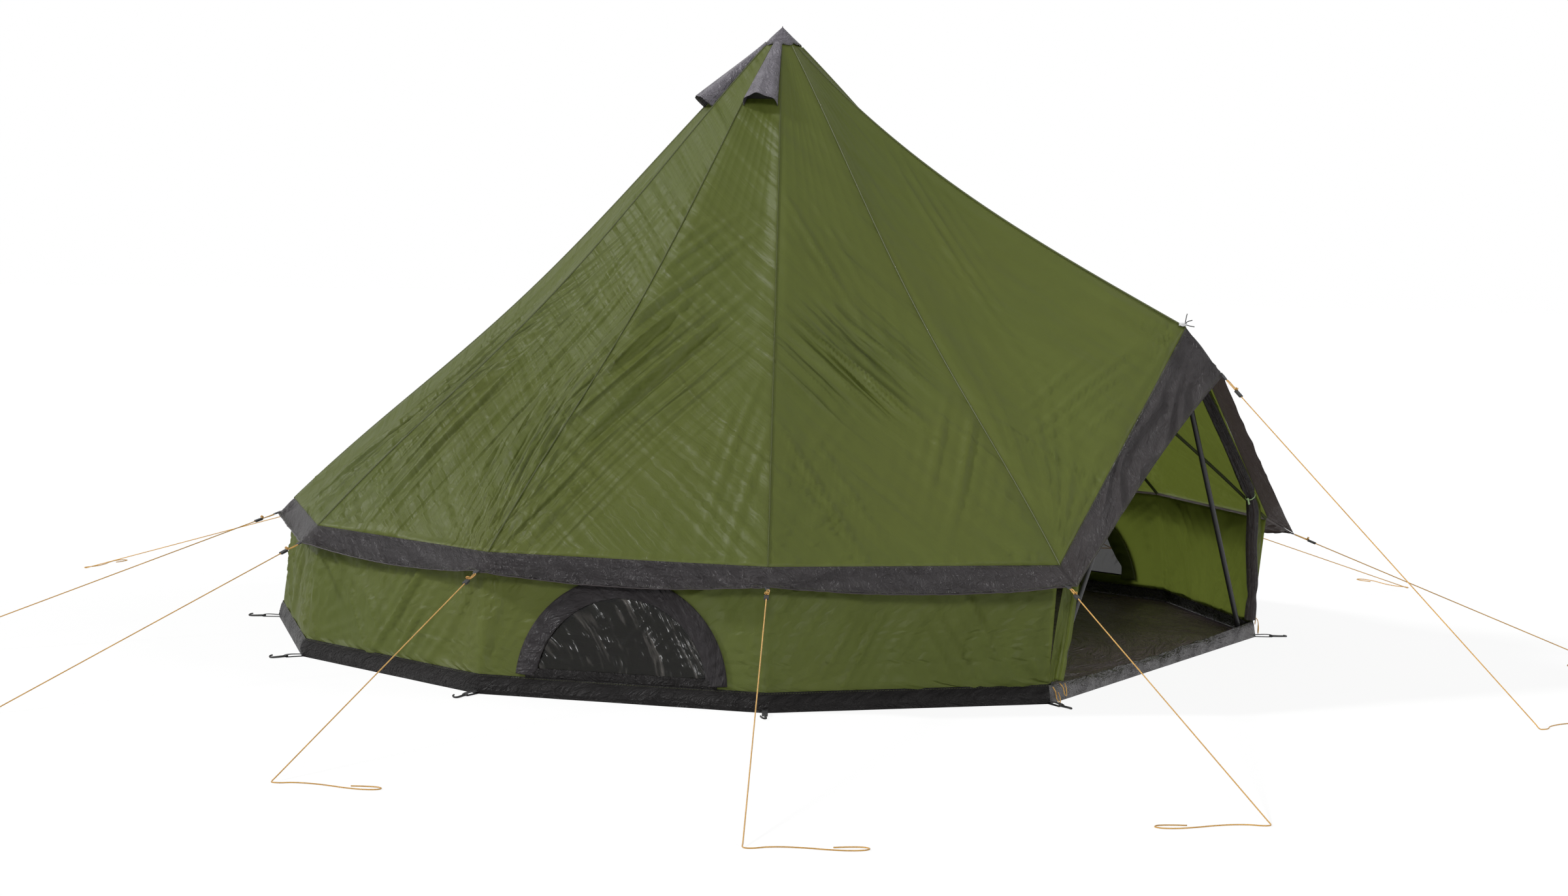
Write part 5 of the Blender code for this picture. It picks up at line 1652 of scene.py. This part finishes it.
class TENT_OT_flaps(bpy.types.Operator):
    """The two door flaps, rolled and tied back, with their grey edges and ties"""

    bl_idname = "tent.flaps"
    bl_label = "Door flaps"

    def execute(self, context):
        for name, flip, spread, roll_cloth in FLAPS:
            self.flap(name, np.array([flip, 1.0, 1.0]), flap_path(spread), roll_cloth(), spread > 0)
        return {"FINISHED"}

    def flap(self, name, flip, path, roll_cloth, edged):
        rings = flap_bundle(path)
        ends = [np.tile(path[end], (1, rings.shape[1], 1)) for end in (0, -1)]
        roll = sheet_object(f"door_flap_{name}_roll", np.concatenate([ends[0], rings, ends[1]]) * flip,
                            roll_cloth, closed=True)
        spread_normals(roll)
        placed(roll, "trim", f"door_flap_{name}")
        if edged:
            low = path[int(0.55 * len(path)):]
            tape = tube_object("door_flap_edge", (low + np.array(FLAP_EDGE)) * flip, 0.006, trim_cloth())
            placed(tape, "trim", f"door_flap_{name}")
        panel = self.selvedge(path) * flip
        cloth = sheet_object(f"door_flap_{name}_cloth", panel, canopy_cloth())
        thicken(cloth, TRIM_THICK, 0.0)
        placed(cloth, "canopy", f"door_flap_{name}")
        self.tie(name, path, flip)

    def selvedge(self, path):
        """Flat cloth from the roof's edge and the wall's door edge to the roll."""
        eave, foot = np.array(eave_corner(corner_azimuths()[-1])), np.array(door_foot())
        share = np.clip(path[:, 0] / eave[0], 0, 1)[:, None]
        on_roof = mix_points(door_peak(), eave, share) + np.array([0.0, 0.006, -0.008])
        low = np.clip((eave[2] - path[:, 2]) / (eave[2] - foot[2]), 0, 1)[:, None]
        on_wall = mix_points(eave, foot, low) + np.array([-0.004, 0.002, -0.010])
        blend = np.clip((share - 0.80) / 0.12, 0, 1)
        edge = on_roof * (1 - blend) + on_wall * blend
        across = shares_down(24)
        points = mix_points(edge[None], path[None], across)
        x = arc_length(points, 1)
        y = across[..., 0] * np.ones_like(x)
        gathers = crest(math.pi * (x * 7 + 0.8 * waves(x * 2, y, 1510)), 1.2)
        lift = 0.010 * gathers + 0.006 * waves(x * 3, y, 1520)
        hold = np.sin(math.pi * np.clip(y, 0, 1)) ** 0.7
        return points + grid_normals(points) * (lift * hold)[..., None]

    def tie(self, name, path, flip):
        """Pale tie round the roll at its toggle."""
        middle = int(round(FLAP_TIE * (len(path) - 1)))
        along, side, out = (ways[middle] for ways in frames_along(path))
        turns = np.linspace(0, 2 * math.pi, 49)
        loop = path[middle] + FLAP_TIE_RADIUS * (np.outer(np.cos(turns), side) + np.outer(np.sin(turns), out))
        loop += np.outer(0.004 * np.sin(turns), along)
        placed(tube_object(f"door_tie_{name}", loop * flip, 0.0022, pale_plastic(), 8), "toggle")


# Lines, tabs and ground loops

# Tab: its length, width and how far it reaches back from the tip. Line ends: turn in degrees from the
# corner's azimuth, reach along the ground and the side that the tail takes.
CORD = 0.005
GAP = 0.0003
TAB = (0.050, 0.025, 0.022)
TAB_ROWS = 30
KNOT_SIZE = 0.0028
RUNNER_DISTANCE = 0.095
RUNNER_LENGTH = 0.044
GUY_ENDS = ((-8.4, 2.23, -1), (-0.5, 2.52, 1), (6.8, 1.98, 1), (12.5, 1.77, -1), (20.6, 1.74, 1),
            (6.0, 1.79, -1), (0.0, 1.79, 1), (0.0, 1.79, -1), (0.0, 1.79, 1), (-0.7, 1.70, 1),
            (-5.7, 1.39, -1))
HOOD_END = (-7.7, 1.71, 1)
DOOR_TAB_SHIFT = 0.040
TAIL_ROUTE = ((0.018, 0.012), (0.016, 0.040), (-0.004, 0.080), (-0.012, 0.140), (-0.004, 0.210),
              (0.012, 0.280), (0.020, 0.345), (0.010, 0.400), (-0.014, 0.420), (-0.036, 0.400),
              (-0.034, 0.350), (-0.022, 0.300))
STRAP_ROWS = 40
STRAP_WIDTH = 0.025
HOOK_ROUTE = ((0.070, 0.0, 0.006), (0.095, 0.001, 0.0055), (0.120, 0.004, 0.005), (0.146, 0.006, 0.005),
              (0.156, -0.003, 0.006), (0.150, -0.014, 0.010), (0.138, -0.017, 0.012))
DOOR_CORD = 0.0042

# Short cords at the door: which corner, and points as distance out, towards the door and up
DOOR_CORDS = {
    "door_cord_left_low": (0, (
        (0.004, 0.030, 0.070), (0.020, 0.036, 0.050), (0.034, 0.034, 0.020),
        (0.040, 0.060, 0.004), (0.026, 0.078, 0.018), (0.018, 0.066, 0.044))),
    "door_cord_left_high": (0, (
        (0.006, 0.095, 0.078), (0.022, 0.110, 0.060), (0.034, 0.112, 0.032),
        (0.030, 0.138, 0.022), (0.018, 0.150, 0.050), (0.014, 0.138, 0.074))),
    "door_cord_right_low": (-1, (
        (0.004, 0.000, 0.100), (0.022, 0.010, 0.085), (0.030, 0.016, 0.050),
        (0.024, 0.004, 0.018), (0.016, -0.014, 0.028), (0.018, -0.012, 0.066))),
    "door_cord_right_high": (-1, (
        (0.004, 0.004, 0.105), (0.018, 0.030, 0.112), (0.026, 0.052, 0.095),
        (0.022, 0.046, 0.070), (0.014, 0.024, 0.080))),
}


def guy_seats():
    """Each line's tab point, direction, ground point and tail side; the hood's line comes last."""
    azimuths = corner_azimuths()
    tips = [skirt_tip(azimuth) for azimuth in azimuths]
    for end, inner in ((0, 1), (-1, -2)):
        tips[end] = tips[end] + (tips[inner] - tips[end]).normalized() * DOOR_TAB_SHIFT
    lines = list(zip(tips, azimuths, GUY_ENDS)) + [(hood_tip(), DOOR, HOOD_END)]
    seats = []
    for tip, azimuth, (turn, reach, side) in lines:
        ground = plan(math.hypot(tip.x, tip.y) + reach, azimuth + math.radians(turn), CORD / 2 + GAP)
        seats.append((tip, (ground - tip).normalized(), ground, side))
    return seats


def line_path(seat):
    """Centreline of a line: taut to the ground, then its loose tail."""
    tip, along, ground, side = seat
    start = tip + along * (TAB[0] - TAB[2] + 1.5 * GAP)
    ahead = Vector((along.x, along.y, 0.0)).normalized()
    across = Vector((-ahead.y, ahead.x, 0.0)) * side
    taut = [list(start.lerp(ground, step / 8)) for step in range(8)]
    loose = [list(ground - along * 0.03), list(ground)]
    loose += [list(ground + ahead * run + across * off) for run, off in TAIL_ROUTE]
    tail = smooth_path(loose, 0.006)
    straight = smooth_path(taut[:-1] + [loose[0]], 0.05)
    return np.concatenate([straight[:-1], tail])


def line_matrix(point, along):
    """Frame with X along the line, Y level and Z the way up that is left."""
    level = Vector((-along.y, along.x, 0.0)).normalized()
    up = along.cross(level).normalized()
    if up.z < 0:
        level, up = -level, -up
    return Matrix.Translation(point) @ Matrix((along, level, up)).transposed().to_4x4()


def local_points(matrix, points):
    matrix = np.array(matrix)
    return np.asarray(points, float) @ matrix[:3, :3].T + matrix[:3, 3]


class TENT_OT_lines(bpy.types.Operator):
    """Guy lines with their returning strands, tabs, and knots that go with the runners"""

    bl_idname = "tent.lines"
    bl_label = "Guy lines"

    def execute(self, context):
        for index, seat in enumerate(guy_seats()):
            self.line(index, seat)
        self.tabs()
        return {"FINISHED"}

    def line(self, index, seat):
        tip, along = seat[:2]
        path = line_path(seat)
        cord = tube_object(f"cord_{index:02d}", path, CORD / 2, braided_cord())
        placed(cord, "cord", f"guy_line_{index:02d}")
        runner = f"runner_{index:02d}"
        place = line_matrix(tip + along * (TAB[0] - TAB[2]), along)
        far = RUNNER_DISTANCE - RUNNER_LENGTH / 2
        strand = smooth_path(local_points(place, [(0.001, 0.0062, 0.001), (0.012, 0.0095, 0.001),
                                                  (far * 0.6, 0.0085, 0.0015), (far - 0.006, 0.0065, 0.003),
                                                  (far + 0.004, 0.0055, 0.008)]), 0.003)
        back = tube_object(f"strand_{index:02d}", strand, CORD / 2, braided_cord())
        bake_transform(back)
        self.knot(index, line_matrix(tip + along * (TAB[0] - TAB[2] + far - 0.002), along), runner)

    def knot(self, index, place, body):
        """Overhand knot at the upper end of the runner."""
        t = np.linspace(0, 2 * math.pi, 64, endpoint=False)
        loop = grid_of(-np.sin(3 * t) * 1.1, np.sin(t) + 2 * np.sin(2 * t), np.cos(t) - 2 * np.cos(2 * t))
        loop = local_points(place, loop * KNOT_SIZE + rise(0.0088))
        rings = tube_points(np.concatenate([loop, loop[:1]]), 0.0021, 8)[1:-2]
        rings = np.concatenate([rings, rings[:1]])
        knot = sheet_object(f"runner_knot_{index:02d}", rings, braided_cord(), closed=True)
        spread_normals(knot)
        placed(knot, "cord", body=body)

    def tabs(self):
        """Black tape folded over the end of each line."""
        turn = np.linspace(0, math.pi, TAB_ROWS + 1)[:, None]
        x = -TAB[2] + TAB[0] * np.sin(turn) ** 0.9
        z = 0.0024 * np.cos(turn) * (0.4 + 0.6 * np.sin(turn)) + 0.0006
        narrow = 1 - 0.35 * np.clip((x + 0.004) / 0.030, 0, 1)
        local = grid_of(x, narrow * np.linspace(-TAB[1] / 2, TAB[1] / 2, 9), z)
        grids = [local_points(line_matrix(seat[0], seat[1]), local) for seat in guy_seats()]
        tabs = joined_object("webbing_tabs", woven_tape(), *grids)
        thicken(tabs, TAPE_THICK, 0.0)
        placed(tabs, "webbing")


class TENT_OT_ground_loops(bpy.types.Operator):
    """Webbing loops with hooks at the ground corners, and the tie cords by the door"""

    bl_idname = "tent.ground_loops"
    bl_label = "Ground loops"

    def execute(self, context):
        points = bpy.data.meshes.new("ground_corners")
        azimuths = corner_azimuths()
        places = [plan(base_radius(azimuth), azimuth, 0.0) for azimuth in azimuths]
        points.from_pydata([list(place) for place in places], [], [])
        turn = points.attributes.new("turn", "FLOAT", "POINT")
        turn.data.foreach_set("value", np.array(azimuths, np.float32))
        tree = corner_tree()
        for name, build, cloth, slot in (("ground_straps", self.strap, woven_tape(), "webbing"),
                                         ("ground_hooks", self.hook, black_plastic(), "black_plastic")):
            piece = build()
            carrier = linked(name, points.copy())
            made = tree.apply(carrier, piece=piece, material=cloth)
            bpy.data.objects.remove(piece)
            made.data.shade_smooth()
            placed(made, slot)
        self.door_cords()
        return {"FINISHED"}

    def strap(self):
        """Tape from under the corner, folded back on itself; X points out from the tent."""
        turn = np.linspace(0, math.pi, STRAP_ROWS + 1)[:, None]
        x = -0.010 + 0.098 * np.sin(turn) ** 0.8
        z = 0.006 + 0.0045 * np.cos(turn) + 0.004 * np.sin(turn * 2)
        grid = grid_of(x, np.linspace(-STRAP_WIDTH / 2, STRAP_WIDTH / 2, 7), np.maximum(z, 0.0012))
        return thicken(sheet_object("strap", grid, woven_tape()), TRIM_THICK, 0.0)

    def hook(self):
        """Small plastic hook through the loop."""
        path = smooth_path(HOOK_ROUTE, 0.003)
        radius = np.interp(np.linspace(0, 1, len(path)), [0, 0.5, 1], [0.0056, 0.0048, 0.0036])
        return tube_object("hook", path, radius, black_plastic())

    def door_cords(self):
        """Short orange cords tied to the door's ground corners."""
        for name, (end, route) in DOOR_CORDS.items():
            azimuth = corner_azimuths()[end]
            corner = plan(base_radius(azimuth) - shape().lean / 2, azimuth, 0.0)
            out = Vector((math.cos(azimuth), math.sin(azimuth), 0.0))
            door = Vector((-math.copysign(1.0, corner.x), 0.0, 0.0))
            points = [list(corner + out * run + door * off + Vector((0, 0, up))) for run, off, up in route]
            path = smooth_path(points, 0.004)
            cord = tube_object(name, path, DOOR_CORD / 2, braided_cord())
            placed(cord, "cord")


class TENT_OT_hardware(bpy.types.Operator):
    """Finishes of the poles, feet, runners, toggles and zip pulls"""

    bl_idname = "tent.hardware"
    bl_label = "Poles and hardware"

    def execute(self, context):
        finishes = {"pole_steel": pole_steel, "frame_steel": frame_paint, "black_plastic": black_plastic,
                    "toggle": pale_plastic, "zip_pull": orange_plastic}
        for part in frame["record"]["subparts"]:
            build = finishes.get(part["material_slot"])
            if build is None:
                continue
            node = frame["nodes"][part["node"]]
            for slot in node.material_slots:
                slot.material = build()
        return {"FINISHED"}


# Stage

CAMERA_AZIMUTH = 210.406
CAMERA_DISTANCE = 14.179
CAMERA_HEIGHT = 2.0776
CAMERA_PITCH = -0.082
CAMERA_ROLL = 0.0195
CAMERA_LENS = 64.607
CAMERA_SHIFT = 0.00614

# Lamps: name, strength, then azimuth, elevation and spread in degrees
LAMPS = (
    ("left", 2.75, 118.0, 36.0, 6.0),
    ("front", 1.75, 208.0, 28.0, 14.0),
    ("right", 0.80, 300.0, 34.0, 20.0),
)
AMBIENT = 0.20
LAMP_DISTANCE = 20

# Floor of the stage: radius, how far it lies below the tent, its glow and the share that shows
STAGE_RADIUS = 60.0
STAGE_DEPTH = 0.0008
STAGE_GLOW = 1.02
STAGE_SHARE = 0.86


def lamp(name, strength, azimuth, elevation, spread):
    light = bpy.data.lights.new(name, "SUN")
    light.energy, light.angle = strength, math.radians(spread)
    made = linked(name, light)
    elevation = math.radians(elevation)
    away = plan(math.cos(elevation), math.radians(azimuth), math.sin(elevation))
    made.rotation_euler = away.to_track_quat("Z", "Y").to_euler()
    made.location = away * LAMP_DISTANCE


class TENT_OT_stage(bpy.types.Operator):
    """Camera at the fitted viewpoint, pale floor, soft light"""

    bl_idname = "tent.stage"
    bl_label = "Stage"

    def execute(self, context):
        scene = context.scene
        scene.view_settings.view_transform = "Standard"
        self.camera(scene)
        self.floor()
        self.world(scene)
        for settings in LAMPS:
            lamp(*settings)
        return {"FINISHED"}

    def camera(self, scene):
        data = bpy.data.cameras.new("camera")
        data.lens = CAMERA_LENS
        data.sensor_width = 36.0
        data.shift_x = CAMERA_SHIFT
        data.clip_end = 200.0
        made = linked("camera", data)
        azimuth = math.radians(CAMERA_AZIMUTH)
        made.location = plan(CAMERA_DISTANCE, azimuth, CAMERA_HEIGHT)
        ahead = plan(-math.cos(CAMERA_PITCH), azimuth, math.sin(CAMERA_PITCH))
        aim = ahead.to_track_quat("-Z", "Y").to_matrix().to_4x4()
        spin = Matrix.Rotation(CAMERA_ROLL, 4, "Z")
        made.matrix_world = Matrix.Translation(made.location) @ aim @ spin
        scene.camera = made

    def floor(self):
        sh = Shader("pale_floor")
        grain = sh.noise(sh.coordinates(), 3.0, 3.0, 0.5)
        sh.principled(Base_Color=sh.mix(grain, (0.80, 0.80, 0.80), (0.83, 0.83, 0.83)), Roughness=0.9)
        glow = sh.add("ShaderNodeEmission", None, {"Color": (1.0, 1.0, 1.0), "Strength": STAGE_GLOW})
        rays = sh.add("ShaderNodeLightPath")
        seen = (Value(sh, rays.outputs["Is Camera Ray"]) + Value(sh, rays.outputs["Is Glossy Ray"])
                + Value(sh, rays.outputs["Is Transmission Ray"])).clamp() * STAGE_SHARE
        mixed = sh.add("ShaderNodeMixShader", None, {0: seen, 1: sh.surface.outputs[0], 2: glow.outputs[0]})
        sh.tree.links.new(mixed.outputs[0], sh.output.inputs[0])
        bm = bmesh.new()
        bmesh.ops.create_circle(bm, cap_ends=True, radius=STAGE_RADIUS, segments=64)
        made = bmesh_object("stage_floor", bm, sh.material)
        made.data.transform(Matrix.Translation((0.0, 0.0, -STAGE_DEPTH)))

    def world(self, scene):
        """White where it is seen directly, in reflections or through cloth, and dim as a lamp."""
        world = bpy.data.worlds.new("studio")
        world.use_nodes = True
        nodes, links = world.node_tree.nodes, world.node_tree.links
        rays = nodes.new("ShaderNodeLightPath")
        seen = rays.outputs["Is Camera Ray"]
        for kind in ("Is Transmission Ray", "Is Glossy Ray"):
            either = nodes.new("ShaderNodeMath")
            either.operation = "MAXIMUM"
            links.new(seen, either.inputs[0])
            links.new(rays.outputs[kind], either.inputs[1])
            seen = either.outputs[0]
        strength = nodes.new("ShaderNodeMapRange")
        strength.inputs["To Min"].default_value = AMBIENT
        strength.inputs["To Max"].default_value = 1.0
        links.new(seen, strength.inputs["Value"])
        nodes["Background"].inputs["Color"].default_value = (1.0, 1.0, 1.0, 1.0)
        links.new(strength.outputs[0], nodes["Background"].inputs["Strength"])
        scene.world = world


class TENT_PT_panel(bpy.types.Panel):
    """Buttons for the tent's pieces and its sizes"""

    bl_label = "Round Tent"
    bl_idname = "TENT_PT_panel"
    bl_space_type = "VIEW_3D"
    bl_region_type = "UI"
    bl_category = "Round Tent"

    def draw(self, context):
        column = self.layout.column(align=True)
        for operator in OPERATORS:
            column.operator(operator.bl_idname)
        for group in (context.scene.tent_shape, context.scene.tent_finish):
            box = self.layout.box()
            for name in group.bl_rna.properties.keys():
                if name not in ("rna_type", "name"):
                    box.prop(group, name)


OPERATORS = (TENT_OT_stage, TENT_OT_lines, TENT_OT_roof, TENT_OT_seams, TENT_OT_wall, TENT_OT_windows,
             TENT_OT_valance, TENT_OT_hood, TENT_OT_cap, TENT_OT_vents, TENT_OT_groundsheet, TENT_OT_flaps,
             TENT_OT_ground_loops, TENT_OT_hardware)
CLASSES = (TentShape, TentFinish, *OPERATORS, TENT_PT_panel)


def register():
    for item in CLASSES:
        bpy.utils.register_class(item)
    bpy.types.Scene.tent_shape = PointerProperty(type=TentShape)
    bpy.types.Scene.tent_finish = PointerProperty(type=TentFinish)


def unregister():
    del bpy.types.Scene.tent_finish
    del bpy.types.Scene.tent_shape
    for item in reversed(CLASSES):
        bpy.utils.unregister_class(item)


def main():
    register()
    for operator in OPERATORS:
        group, name = operator.bl_idname.split(".")
        getattr(getattr(bpy.ops, group), name)()


if __name__ == "__main__":
    main()
